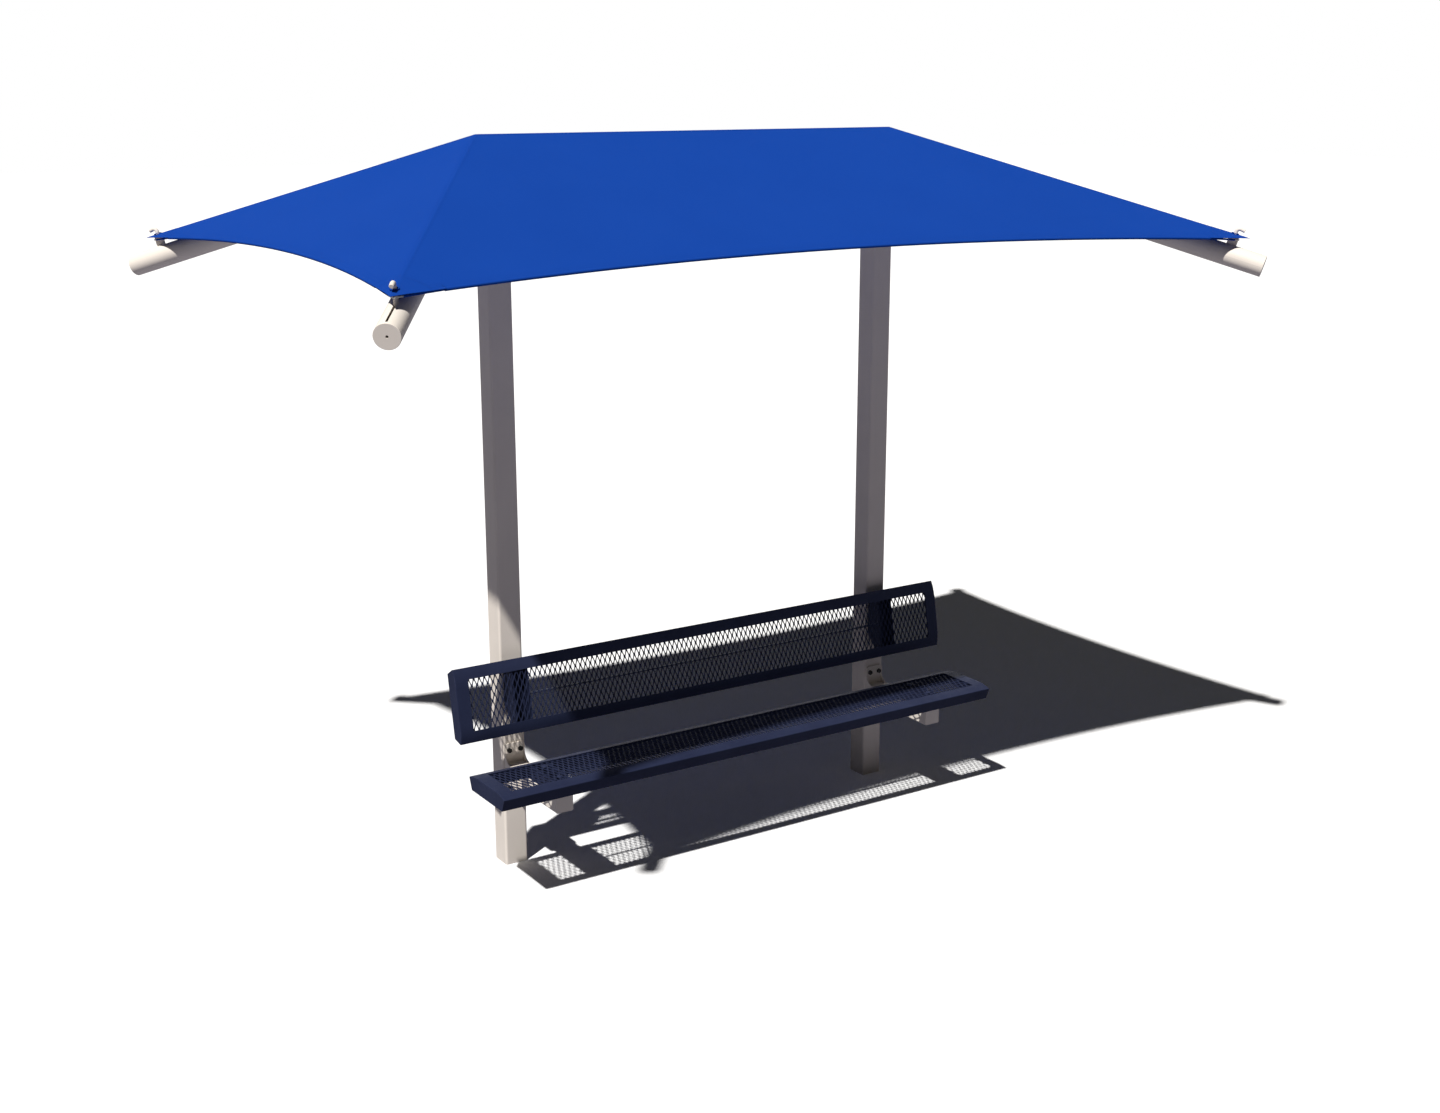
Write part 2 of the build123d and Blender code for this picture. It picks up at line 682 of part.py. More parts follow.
def plank_mesh():
    """One sheet of diamonds under the rim, bent where the plank's flat middle ends.

    A single face with all its holes makes the net.
    """
    length_in = bench_length - 2 * rim_end_width
    edge = plank_width / 2 - rim_width + mesh_overlap
    sheet = Rectangle(length_in + 2 * mesh_overlap, 2 * edge)
    columns = int(length_in / mesh_pitch_along)
    rows, row_step = net_rows()
    half_a = (mesh_pitch_along - mesh_strand) / 2
    half_b = row_step - mesh_strand
    diamonds = []
    for row, y in enumerate(rows):
        shift = row % 2
        for column in range(columns - shift):
            x = (column - (columns - 1 - shift) / 2) * mesh_pitch_along
            corners = [(x - half_a, y), (x, y - half_b), (x + half_a, y), (x, y + half_b)]
            diamonds.append(Wire(Polyline(*corners, close=True).edges()))
    holed_sheet = Face(sheet.face().outer_wire(), diamonds)
    holed = extrude(holed_sheet, amount=2 * plank_skirt, both=True)
    bends = [-edge, -plank_flat_half, plank_flat_half, edge]
    top = [(y, plank_height(y) - plank_wall - mesh_gap) for y in bends]
    bottom = [(y, z - mesh_thickness) for y, z in reversed(top)]
    profile = Plane.YZ * make_face(Polyline(*top, *bottom, close=True))
    return holed & extrude(profile, amount=bench_length, both=True)


def plank_stringer():
    """Flat bar on edge under the middle of the net, from saddle to saddle."""
    top = plank_roll_drop - under_net()
    length = 2 * (half_spacing - saddle_width / 2 - mesh_gap)
    return Pos(0, 0, top - stringer_depth / 2) * Box(length, stringer_thickness, stringer_depth)


def cross_channel(sx, bottom):
    """Channel across a plank, between the skirts: a base plate and two cheeks that reach up to the net."""
    middle = Pos(sx * half_spacing, 0, 0)
    inner = saddle_width - 2 * saddle_plate
    height = 2 * plank_skirt
    body = plank_solid(under_net(), bottom, 0) & middle * Box(saddle_width, plank_width, 2 * height)
    return body - Pos(0, 0, bottom + saddle_plate + height / 2) * middle * Box(inner, plank_width, height)


seat_place = Pos(0, seat_centre_y, seat_edge_height)
back_place = Pos(0, back_centre_y, back_centre_z) * Rot(back_tilt, 0, 0)


def seat_saddle(sx):
    """Cross channel under the seat, its base flat on the arm."""
    body = seat_place * cross_channel(sx, arm_top - seat_edge_height)
    return body - [bolt_hole(spot, spot[0].Z - arm_top) for spot in seat_bolt_spots(sx)]


def back_bracket(sx):
    """Cross channel in the back panel, welded to a wedge-shaped channel that stands on the post."""
    x = sx * half_spacing
    channel = back_place * cross_channel(sx, -plank_skirt)
    recline = math.radians(back_recline)
    rear_base = Vector(0, back_centre_y + plank_skirt * math.cos(recline), back_centre_z - plank_skirt * math.sin(recline))

    def panel_y(z):
        return rear_base.Y + (z - rear_base.Z) * math.tan(recline)

    low = back_bracket_bottom - back_bracket_front_drop
    points = [
        (-half_post, back_bracket_top),
        (-half_post, back_bracket_bottom),
        (panel_y(low), low),
        (panel_y(back_bracket_top), back_bracket_top),
    ]
    plane = Plane(origin=(x, 0, 0), x_dir=(0, 1, 0), z_dir=(1, 0, 0))
    outline = make_face(Polyline(*points, close=True))
    wedge = extrude(plane * outline, amount=saddle_width / 2, both=True)
    room_centre = (x, bracket_face_y - plank_width / 2, back_centre_z)
    wedge -= Pos(*room_centre) * Box(saddle_width - 2 * saddle_plate, plank_width, 2 * plank_width)
    body = channel + wedge
    return body - [bolt_hole(spot, bracket_plate) for spot in back_bolt_spots(sx)]


def corner_patch(sx, sy):
    """Corner of the canopy with the hole that its horn comes through."""
    cloth = panel_plate(0, sy) + panel_plate(sx, 0)
    cloth = cloth & corner_zone(sx, sy)
    plane, axis, up = rafter_frame(sx, sy)
    start = along_rafter(sx, sy, stem_distance, corner_rise - horn_root)
    hole = rod(start, start + up * (2 * horn_root), horn_radius + horn_hole_clearance)
    return cloth - hole


def loop_seat(sx, sy):
    """Middle of the cable's turn in the stem's groove, and the ways from it to the two hems."""
    p, q = patch_ends(sx, sy)
    groove_distance = stem_distance + stem_width / 2 + groove_offset
    seat = along_rafter(sx, sy, groove_distance, corner_rise - groove_below_fabric)
    return seat, (p - seat).normalized(), (q - seat).normalized()


def cable_loop(sx, sy):
    """The edge cable's turn round the stem, from the end of one hem to the end of the other."""
    p, q = patch_ends(sx, sy)
    seat, to_p, to_q = loop_seat(sx, sy)
    outward = -(to_p + to_q).normalized()
    apex = seat
    for _ in CORNERS:
        opening = math.radians((p - apex).get_angle(q - apex))
        apex = seat + outward * (loop_bend_radius * (1 / math.sin(opening / 2) - 1))
    start = p + (apex - p).normalized() * loop_start_gap
    end = q + (apex - q).normalized() * loop_start_gap
    path = FilletPolyline(start, apex, end, radius=loop_bend_radius)
    return sweep(Plane(origin=path @ 0, z_dir=path % 0) * Circle(cable_radius), path=path)


def save(name, solids):
    """Writes one node; several separate solids go into it as a group."""
    if not isinstance(solids, (list, tuple)):
        solids = [solids]
    parts = [solid for shape in solids for solid in shape.solids()]
    node = parts[0] if len(parts) == 1 else Compound(children=parts)
    node.label = name
    export_step(node, os.path.join("parts", name + ".step"))


def build_frame():
    for name, sx in SIDES:
        save(name + "_post", post(sx))
        save(name + "_post_head", post_head(sx))
    save("ridge_beam", ridge_beam())
    for name, sx, sy in CORNERS:
        save("rafter_" + name, rafter(sx, sy))
        save("rafter_cap_" + name, rafter_cap(sx, sy))
    save("thrust_plates", [thrust_plate(sx, sy) for _, sx, sy in CORNERS])


def build_canopy():
    for name, sx, sy in (("front", 0, -1), ("rear", 0, 1), ("left", -1, 0), ("right", 1, 0)):
        save("canopy_" + name, canopy_panel(sx, sy))
    save("edge_cable", edge_cable())
    for name, sx, sy in CORNERS:
        save("canopy_corner_" + name, corner_patch(sx, sy))
        save("cable_loop_" + name, cable_loop(sx, sy))


def build_tensioners():
    for name, sx, sy in CORNERS:
        save("tension_hook_" + name, tension_hook(sx, sy))
        save("tension_screw_" + name, tension_screw(sx, sy))


def build_bench():
    save("seat_frame", seat_place * plank_rim())
    bolt_holes = [bolt_hole(spot, plank_skirt) for _, sx in SIDES for spot in seat_bolt_spots(sx)]
    save("seat_mesh", seat_place * plank_mesh() - bolt_holes)
    save("seat_stringer", seat_place * plank_stringer())
    save("back_frame", back_place * plank_rim())
    save("back_mesh", back_place * plank_mesh())
    save("back_stringer", back_place * plank_stringer())
    for name, sx in SIDES:
        save(name + "_seat_arm", seat_arm(sx))
        save(name + "_seat_bracket", seat_bracket(sx))
        save(name + "_seat_saddle", seat_saddle(sx))
        save(name + "_back_bracket", back_bracket(sx))
    save("arm_caps", [arm_cap(sx) for _, sx in SIDES])


def build_fasteners():
    through_post = post_width + bracket_plate
    groups = {"head_bolts": [], "rafter_bolts": [], "seat_bracket_bolts": [], "arm_bolts": [], "back_bolts": []}
    for _, sx in SIDES:
        groups["head_bolts"] += [(spot, post_width) for spot in head_bolt_spots(sx)]
        groups["rafter_bolts"].append((ridge_bolt_spot(sx), rafter_diameter))
        groups["seat_bracket_bolts"] += [(spot, through_post) for spot in seat_bracket_bolt_spots(sx)]
        groups["arm_bolts"] += [(spot, 2 * bracket_outer_half) for spot in arm_bolt_spots(sx)]
        groups["back_bolts"] += [(spot, through_post) for spot in back_bolt_spots(sx)]
    for _, sx, sy in CORNERS:
        groups["rafter_bolts"].append((rafter_bolt_spots(sx, sy), rafter_diameter))
    nuts = []
    for name, places in groups.items():
        save(name, [hex_bolt(spot, grip) for spot, grip in places])
        nuts += [lock_nut(spot, grip) for spot, grip in places]
    seat_places = [(spot, spot[0].Z - arm_bottom) for _, sx in SIDES for spot in seat_bolt_spots(sx)]
    save("seat_bolts", [dome_bolt(spot, grip) for spot, grip in seat_places])
    nuts += [lock_nut(spot, grip) for spot, grip in seat_places]
    save("lock_nuts", nuts)


os.makedirs("parts", exist_ok=True)
build_frame()
build_canopy()
build_tensioners()
build_bench()
build_fasteners()
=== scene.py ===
import math

import bmesh
import bpy
from mathutils import Matrix, Quaternion, Vector


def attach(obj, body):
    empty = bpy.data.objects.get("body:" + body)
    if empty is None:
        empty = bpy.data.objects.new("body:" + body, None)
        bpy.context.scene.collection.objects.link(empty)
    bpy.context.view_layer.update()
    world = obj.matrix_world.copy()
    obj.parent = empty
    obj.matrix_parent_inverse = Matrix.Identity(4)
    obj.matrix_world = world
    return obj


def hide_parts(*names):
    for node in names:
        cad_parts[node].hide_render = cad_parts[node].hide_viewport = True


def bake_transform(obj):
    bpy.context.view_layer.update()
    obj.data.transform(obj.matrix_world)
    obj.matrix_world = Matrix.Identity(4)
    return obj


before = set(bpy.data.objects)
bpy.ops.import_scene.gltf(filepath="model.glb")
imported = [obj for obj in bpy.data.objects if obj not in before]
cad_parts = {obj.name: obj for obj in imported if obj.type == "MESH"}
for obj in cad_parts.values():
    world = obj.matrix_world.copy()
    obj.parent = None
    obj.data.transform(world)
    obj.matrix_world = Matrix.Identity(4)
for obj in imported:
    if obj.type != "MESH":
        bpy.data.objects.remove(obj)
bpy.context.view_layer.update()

MM = 0.001
TAU = 2 * math.pi

# Sizes of the CAD model, in metres, that the dressed pieces follow
POST_X = 931.6 * MM
POST_HALF = 50.8 * MM
HEAD_X = 960.8 * MM
NODE_Z = 2904.9 * MM
RIDGE_Z = 2969.3 * MM
RIDGE_X = 991.8 * MM
CORNER_X = 1898.0 * MM
CORNER_Y = 1257.0 * MM
CORNER_Z = 2535.6 * MM
AXIS_DROP = 95.6 * MM
FRONT_SCALLOP = 142.0 * MM
END_SCALLOP = 97.5 * MM
RAFTER_R = 44.45 * MM
HEM_INSET = 5.0 * MM
HEM_DEPTH = 5.4 * MM
CABLE_R = 3.2 * MM
CLOTH = 1.2 * MM
PATCH_REACH = 200.0 * MM
# The cloth's edge lies this many millimetres inside the fold, and that many more where the hem is
EDGE_INSET, HEM_EDGE_INSET = 0.8, 3.7
HEM_START = PATCH_REACH - 5.0 * MM, PATCH_REACH + 15.0 * MM
STEM_INSET = 62.0 * MM
FRONT_SLOPE = (RIDGE_Z - CORNER_Z) / CORNER_Y
END_SLOPE = (RIDGE_Z - CORNER_Z) / (CORNER_X - RIDGE_X)
CORNERS = (
    ("front_left", -1, -1), ("front_right", 1, -1),
    ("rear_left", -1, 1), ("rear_right", 1, 1),
)


# Mesh helpers
def linked_object(name, mesh, material, smooth=True):
    if smooth:
        mesh.polygons.foreach_set("use_smooth", [True] * len(mesh.polygons))
    obj = bpy.data.objects.new(name, mesh)
    bpy.context.scene.collection.objects.link(obj)
    mesh.materials.append(material)
    return obj


def mesh_object(name, verts, faces, material, smooth=True):
    mesh = bpy.data.meshes.new(name)
    mesh.from_pydata([tuple(v) for v in verts], [], faces)
    mesh.validate()
    mesh.update()
    return linked_object(name, mesh, material, smooth)


def bmesh_object(name, bm, material):
    mesh = bpy.data.meshes.new(name)
    bm.to_mesh(mesh)
    bm.free()
    return linked_object(name, mesh, material)


def edit_mesh(obj, step):
    """Runs a step on an object's mesh while it is open as a bmesh."""
    bm = bmesh.new()
    bm.from_mesh(obj.data)
    step(bm)
    bm.to_mesh(obj.data)
    bm.free()
    return obj


def turn_outward(bm):
    bmesh.ops.recalc_face_normals(bm, faces=bm.faces)


def turn_upward(bm):
    if sum(f.normal.z for f in bm.faces) < 0:
        bmesh.ops.reverse_faces(bm, faces=bm.faces)


def sharpen(obj, angle=35):
    """Smooth shading that keeps edges sharper than an angle."""
    limit = math.radians(angle)

    def mark_edges(bm):
        for edge in bm.edges:
            edge.smooth = len(edge.link_faces) == 2 and edge.calc_face_angle(0) < limit

    return edit_mesh(obj, mark_edges)


def apply_modifiers(obj):
    bpy.context.view_layer.update()
    graph = bpy.context.evaluated_depsgraph_get()
    made = bpy.data.meshes.new_from_object(obj.evaluated_get(graph))
    obj.modifiers.clear()
    obj.data = made
    return obj


def cloth_coordinates(obj, place):
    """Gives cloth its flat coordinates; place takes a vertex's index and position."""
    layer = obj.data.uv_layers.new(name="cloth")
    for loop in obj.data.loops:
        index = loop.vertex_index
        layer.data[loop.index].uv = place(index, obj.data.vertices[index].co)


def tube_faces(rings, count, base=0):
    """Faces of a closed tube: rings of count points each, both ends capped."""
    faces = []
    for i in range(rings - 1):
        for k in range(count):
            a, b = base + i * count + k, base + i * count + (k + 1) % count
            faces.append((a, b, b + count, a + count))
    last = base + (rings - 1) * count
    faces.append(tuple(base + k for k in reversed(range(count))))
    faces.append(tuple(last + k for k in range(count)))
    return faces


def sheet_faces(rows, count):
    """Faces of an open sheet: rows of count points each."""
    faces = []
    for i in range(rows - 1):
        for k in range(count - 1):
            a = i * count + k
            faces.append((a, a + 1, a + 1 + count, a + count))
    return faces


def frames_along(points):
    """Steady side vectors along a line of points."""
    points = [Vector(p) for p in points]
    tangents = []
    for i in range(len(points)):
        a = points[max(i - 1, 0)]
        b = points[min(i + 1, len(points) - 1)]
        tangents.append((b - a).normalized())
    normal = tangents[0].orthogonal()
    normal = (normal - tangents[0] * normal.dot(tangents[0])).normalized()
    frames = []
    for i, tangent in enumerate(tangents):
        if i:
            turn = tangents[i - 1].rotation_difference(tangent)
            normal = turn @ normal
            normal = (normal - tangent * normal.dot(tangent)).normalized()
        frames.append((points[i], tangent, normal, tangent.cross(normal)))
    return frames


def sweep_mesh(name, points, outline, material):
    """A closed outline of (side, up) pairs carried along points."""
    verts = []
    for p, _, side, up in frames_along(points):
        verts += [p + side * a + up * b for a, b in outline]
    return mesh_object(name, verts, tube_faces(len(points), len(outline)), material)


def circle(radius, count=12):
    angles = [TAU * k / count for k in range(count)]
    return [(radius * math.cos(a), radius * math.sin(a)) for a in angles]


# Materials: node trees with colour variation, roughness variation and fine relief
def new_material(name, base, roughness, metallic=0.0, **sockets):
    material = bpy.data.materials.new(name)
    material.use_nodes = True
    tree = material.node_tree
    shader = tree.nodes["Principled BSDF"]
    shader.inputs["Base Color"].default_value = (*base, 1)
    shader.inputs["Roughness"].default_value = roughness
    shader.inputs["Metallic"].default_value = metallic
    for key, value in sockets.items():
        shader.inputs[key.replace("_", " ")].default_value = value
    return material, tree, shader


def node(tree, kind, links=(), **values):
    made = tree.nodes.new(kind)
    for key, value in values.items():
        if key in made.inputs:
            made.inputs[key].default_value = value
        else:
            setattr(made, key, value)
    for socket, source in links:
        tree.links.new(source, made.inputs[socket])
    return made


def ramp(tree, source, low, high, at=(0.35, 0.65)):
    made = tree.nodes.new("ShaderNodeValToRGB")
    made.color_ramp.elements[0].position = at[0]
    made.color_ramp.elements[1].position = at[1]
    made.color_ramp.elements[0].color = (*low, 1)
    made.color_ramp.elements[1].color = (*high, 1)
    tree.links.new(source, made.inputs["Fac"])
    return made


def grey(value):
    return (value, value, value)


def coordinates(tree):
    return tree.nodes.new("ShaderNodeTexCoord").outputs["Object"]


def coat_material(
    name, low, high, rough_low, rough_high, grain, grain_height, wave, wave_height, **sockets
):
    """A painted or dipped coat: slow colour and gloss change, fine grain and a slow wave."""
    material, tree, shader = new_material(name, low, rough_low, **sockets)
    where = coordinates(tree)
    slow = node(tree, "ShaderNodeTexNoise", [("Vector", where)], Scale=5.0, Detail=5.0, Roughness=0.6)
    colour = ramp(tree, slow.outputs["Fac"], low, high)
    tree.links.new(colour.outputs["Color"], shader.inputs["Base Color"])
    gloss = node(tree, "ShaderNodeTexNoise", [("Vector", where)], Scale=38.0, Detail=4.0)
    rough = ramp(tree, gloss.outputs["Fac"], grey(rough_low), grey(rough_high))
    tree.links.new(rough.outputs["Color"], shader.inputs["Roughness"])
    fine = node(tree, "ShaderNodeTexNoise", [("Vector", where)], Scale=grain, Detail=2.0)
    broad = node(tree, "ShaderNodeTexNoise", [("Vector", where)], Scale=wave, Detail=1.0)
    first = node(
        tree, "ShaderNodeBump", [("Height", broad.outputs["Fac"])],
        Strength=1.0, Distance=wave_height,
    )
    second = node(
        tree, "ShaderNodeBump",
        [("Height", fine.outputs["Fac"]), ("Normal", first.outputs["Normal"])],
        Strength=1.0, Distance=grain_height,
    )
    tree.links.new(second.outputs["Normal"], shader.inputs["Normal"])
    return material


def fabric_material(name, base, dark, bright):
    """Knitted shade cloth: ribs and cross threads in the cloth's flat coordinates, slow fading."""
    material, tree, shader = new_material(name, base, 0.85)
    shader.inputs["Specular IOR Level"].default_value = 0.04
    flat = tree.nodes.new("ShaderNodeTexCoord").outputs["UV"]
    where = coordinates(tree)
    slub = node(tree, "ShaderNodeTexNoise", [("Vector", flat)], Scale=260.0, Detail=3.0, Roughness=0.65)
    slow = node(tree, "ShaderNodeTexNoise", [("Vector", where)], Scale=2.2, Detail=6.0, Roughness=0.62)
    ribs = node(tree, "ShaderNodeTexWave", [("Vector", flat)], Scale=90.0, Distortion=0.6, Detail=1.0)
    ribs.bands_direction = "X"
    threads = node(tree, "ShaderNodeTexWave", [("Vector", flat)], Scale=62.0, Distortion=0.9, Detail=1.0)
    threads.bands_direction = "Y"
    knit = node(
        tree, "ShaderNodeMath", [(0, ribs.outputs["Fac"]), (1, threads.outputs["Fac"])],
        operation="MULTIPLY",
    )
    mixed = node(
        tree, "ShaderNodeMath", [(0, knit.outputs[0]), (1, slub.outputs["Fac"])], operation="ADD",
    )
    shade = ramp(tree, slow.outputs["Fac"], dark, bright, at=(0.3, 0.72))
    loops = ramp(tree, mixed.outputs[0], grey(0.80), grey(1.0), at=(0.35, 0.95))
    colour = node(tree, "ShaderNodeMix", data_type="RGBA", blend_type="MULTIPLY")
    colour.inputs["Factor"].default_value = 1.0
    tree.links.new(shade.outputs["Color"], colour.inputs["A"])
    tree.links.new(loops.outputs["Color"], colour.inputs["B"])
    tree.links.new(colour.outputs["Result"], shader.inputs["Base Color"])
    relief = node(tree, "ShaderNodeBump", [("Height", mixed.outputs[0])], Strength=0.7, Distance=0.0005)
    tree.links.new(relief.outputs["Normal"], shader.inputs["Normal"])
    return material


def metal_material(name, low, high, rough_low, rough_high, scratch=(900.0, 900.0, 900.0)):
    """Zinc or stainless: mottled tone, brushed or grainy relief."""
    material, tree, shader = new_material(name, low, rough_low, metallic=1.0)
    where = coordinates(tree)
    stretch = node(tree, "ShaderNodeMapping", [("Vector", where)])
    stretch.inputs["Scale"].default_value = scratch
    stretched = stretch.outputs["Vector"]
    fine = node(tree, "ShaderNodeTexNoise", [("Vector", stretched)], Scale=1.0, Detail=3.0)
    slow = node(tree, "ShaderNodeTexNoise", [("Vector", where)], Scale=120.0, Detail=4.0)
    colour = ramp(tree, slow.outputs["Fac"], low, high)
    rough = ramp(tree, fine.outputs["Fac"], grey(rough_low), grey(rough_high))
    relief = node(
        tree, "ShaderNodeBump", [("Height", fine.outputs["Fac"])], Strength=0.5, Distance=0.0001,
    )
    tree.links.new(colour.outputs["Color"], shader.inputs["Base Color"])
    tree.links.new(rough.outputs["Color"], shader.inputs["Roughness"])
    tree.links.new(relief.outputs["Normal"], shader.inputs["Normal"])
    return material


almond = coat_material(
    "almond_powder_coat", (0.85, 0.775, 0.690), (0.89, 0.812, 0.722), 0.38, 0.48,
    grain=1400.0, grain_height=0.00006, wave=260.0, wave_height=0.00010, Specular_IOR_Level=0.15,
)
navy = coat_material(
    "navy_dip_coating", (0.0155, 0.020, 0.048), (0.021, 0.027, 0.061), 0.50, 0.60,
    grain=700.0, grain_height=0.00008, wave=95.0, wave_height=0.0003, Specular_IOR_Level=0.08,
)
cloth = fabric_material(
    "shade_cloth", (0.0066, 0.0575, 0.358), (0.0061, 0.0556, 0.350), (0.0070, 0.0593, 0.366),
)
seam_cloth = fabric_material(
    "shade_cloth_seam", (0.0064, 0.0558, 0.350), (0.0060, 0.0543, 0.342), (0.0068, 0.0575, 0.358),
)
# Stitch thread: painted light. The cloth's blue is made a little lighter so that the stitches' own
# shading does not read as dark lines.
thread_painted_light = fabric_material(
    "stitch_thread_painted_light", (0.0078, 0.0645, 0.381), (0.0070, 0.0617, 0.372), (0.0086, 0.0680, 0.400),
)
zinc = metal_material("zinc_plated_steel", (0.50, 0.50, 0.49), (0.62, 0.62, 0.60), 0.32, 0.5)
# Black oxide steel: a real dark finish, used here also as painted shade. It keeps the bracket bolts and
# the screws in the rafters' slots as dark as the shade they sit in.
black_oxide_painted_shade = metal_material("black_oxide_steel_painted_shade", (0.02, 0.02, 0.02), (0.035, 0.035, 0.035), 0.4, 0.55)
steel_rope = metal_material("galvanised_wire_rope", (0.42, 0.42, 0.42), (0.6, 0.6, 0.6), 0.3, 0.45)


# Rafter frames, as in the CAD model
def node_point(sx):
    return Vector((sx * HEAD_X, 0, NODE_Z))


def corner_point(sx, sy):
    return Vector((sx * CORNER_X, sy * CORNER_Y, CORNER_Z))


def rafter_frame(sx, sy):
    origin = node_point(sx)
    axis = (corner_point(sx, sy) - Vector((0, 0, AXIS_DROP)) - origin).normalized()
    side = axis.cross(Vector((0, 0, 1))).normalized()
    return origin, axis, side, side.cross(axis)


def along_rafter(sx, sy, distance, height=0.0):
    origin, axis, side, up = rafter_frame(sx, sy)
    return origin + axis * distance + up * height


origin_0, axis_0, _, up_0 = rafter_frame(1, -1)
CORNER_T = (corner_point(1, -1) - origin_0).dot(axis_0)
CORNER_H = (corner_point(1, -1) - origin_0).dot(up_0)
STEM_T = CORNER_T - STEM_INSET


# Canopy cloth: one surface from the eaves' arcs to the ridge, in four quarters edge to edge
def arc_centre(a, middle, b):
    """Centre of the circle through three points."""
    alpha = (b - middle).length_squared * (a - b).dot(a - middle)
    beta = (a - b).length_squared * (middle - a).dot(middle - b)
    gamma = (a - middle).length_squared * (b - a).dot(b - middle)
    return (a * alpha + middle * beta + b * gamma) / (alpha + beta + gamma)


def arc_point(a, middle, b, u):
    """A point at share u along the circle arc through three points."""
    centre = arc_centre(a, middle, b)
    start, end = a - centre, b - centre
    turn = Quaternion(start.cross(end).normalized(), start.angle(end) * u)
    return centre + turn @ start


def eave(sx, sy):
    """Two corners and the middle of one side's eave; the side faces x when sx isn't 0, else y."""
    if sx == 0:
        height = CORNER_Z + FRONT_SLOPE * FRONT_SCALLOP
        middle = Vector((0, sy * (CORNER_Y - FRONT_SCALLOP), height))
        return corner_point(-1, sy), middle, corner_point(1, sy)
    middle = Vector((sx * (CORNER_X - END_SCALLOP), 0, CORNER_Z + END_SLOPE * END_SCALLOP))
    return corner_point(sx, -1), middle, corner_point(sx, 1)


def eave_centre(sx, sy):
    return arc_centre(*eave(sx, sy))


def eave_length(sx, sy):
    a, middle, b = eave(sx, sy)
    samples = [arc_point(a, middle, b, i / 60) for i in range(61)]
    return sum((samples[i + 1] - samples[i]).length for i in range(60))


def ridge_end(sx):
    return Vector((sx * RIDGE_X, 0, RIDGE_Z))


def roof_height(x, y):
    """The cloth's top: two pairs of planes with softly rounded hips and ridge."""
    soft = 0.0015
    front = RIDGE_Z - FRONT_SLOPE * math.sqrt(y * y + soft * soft)
    reach = abs(x) - RIDGE_X
    end = RIDGE_Z - END_SLOPE * reach
    gap = front - end
    width = 0.002
    if abs(gap) < width:
        return min(front, end) - (width - abs(gap)) ** 2 / (4 * width)
    return min(front, end)


SAG, HEM_SHARE = 0.011, 0.05


def sag(u, v):
    """The cloth dips a little between hips, ridge and eaves."""
    from_hem = max(0.0, (v - HEM_SHARE) / (1 - HEM_SHARE))
    return -SAG * math.sin(math.pi * u) ** 1.5 * math.sin(math.pi * from_hem) ** 1.6


def spaced(count, ends, power=1.6):
    """Shares from 0 to 1 that crowd towards both ends or towards the start."""
    shares = []
    for i in range(count + 1):
        t = i / count
        if ends == 2:
            shares.append(0.5 * (2 * t) ** power if t < 0.5 else 1 - 0.5 * (2 * (1 - t)) ** power)
        else:
            shares.append(t**power)
    return shares


LONG_STEPS, SHORT_STEPS, RISE_STEPS = 72, 48, 40


def panel_up(sx, sy):
    angle = math.atan(FRONT_SLOPE if sx == 0 else END_SLOPE)
    return Vector((sx * math.sin(angle), sy * math.sin(angle), math.cos(angle)))


def ease(x, low, high):
    t = min(max((x - low) / (high - low), 0.0), 1.0)
    return t * t * (3 - 2 * t)


def side_points(sx, sy):
    """Grid of cloth points for one side: rows from eave to ridge, columns from corner to corner."""
    a, middle, b = eave(sx, sy)
    centre = eave_centre(sx, sy)
    count = LONG_STEPS if sx == 0 else SHORT_STEPS
    rows = []
    for v in spaced(RISE_STEPS, 1, 1.25):
        row = []
        for u in spaced(count, 2):
            e = arc_point(a, middle, b, u)
            from_corner = min((e - a).length, (e - b).length)
            inset = (EDGE_INSET + HEM_EDGE_INSET * ease(from_corner, *HEM_START)) * MM
            inset *= ease(from_corner, 0.0, 0.03)
            e = e + (e - centre).normalized() * inset
            p = e.lerp(ridge_end(2 * u - 1 if sx == 0 else sx), v)
            if abs(u - 0.5) < 1e-9:
                p[0 if sx == 0 else 1] = 0.0
            p.z = roof_height(p.x, p.y) + sag(u, v)
            row.append(p)
        rows.append(row)
    return rows


def flat_coordinates(sx, p):
    """Cloth coordinates: metres along the eave's direction and up the slope."""
    if sx == 0:
        return p.x, abs(p.y) / math.cos(math.atan(FRONT_SLOPE))
    return p.y, abs(p.x) / math.cos(math.atan(END_SLOPE))


def cloth_quarter(name, sx, sy):
    bm = bmesh.new()
    layer = bm.loops.layers.uv.new("cloth")
    for side in ((0, sy), (sx, 0)):
        rows = side_points(*side)
        columns = len(rows[0])
        half = columns // 2
        low = sx < 0 if side[0] == 0 else sy < 0
        keep = range(0, half + 1) if low else range(half, columns)
        grid = [[bm.verts.new(row[k]) for k in keep] for row in rows]
        outward_first = side[1] < 0 if side[0] == 0 else side[0] > 0
        for i in range(len(grid) - 1):
            for k in range(len(keep) - 1):
                quad = [grid[i][k], grid[i][k + 1], grid[i + 1][k + 1], grid[i + 1][k]]
                if not outward_first:
                    quad.reverse()
                spots = {tuple(round(c, 7) for c in v.co) for v in quad}
                if len(spots) < 3:
                    continue
                face = bm.faces.new(quad)
                for loop in face.loops:
                    loop[layer].uv = flat_coordinates(side[0], loop.vert.co)
    bmesh.ops.remove_doubles(bm, verts=bm.verts, dist=0.00005)
    obj = bmesh_object(name, bm, cloth)
    thick = obj.modifiers.new("cloth", "SOLIDIFY")
    thick.thickness = CLOTH
    thick.offset = -1
    thick.use_rim = True
    return sharpen(apply_modifiers(obj), 50)


def tie_to_corner(obj):
    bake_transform(obj)
    return obj


quarters = {corner: cloth_quarter("cloth_" + corner, sx, sy) for corner, sx, sy in CORNERS}


# Hems: the cloth's edge folded round the cable and stitched down in two rows
SLEEVE_STEPS, HEM_END_STEPS, STRAND_STEPS = {"long": 64, "short": 44}, 8, 40
HEM_JOIN, HEM_STOP = 0.002, 0.085


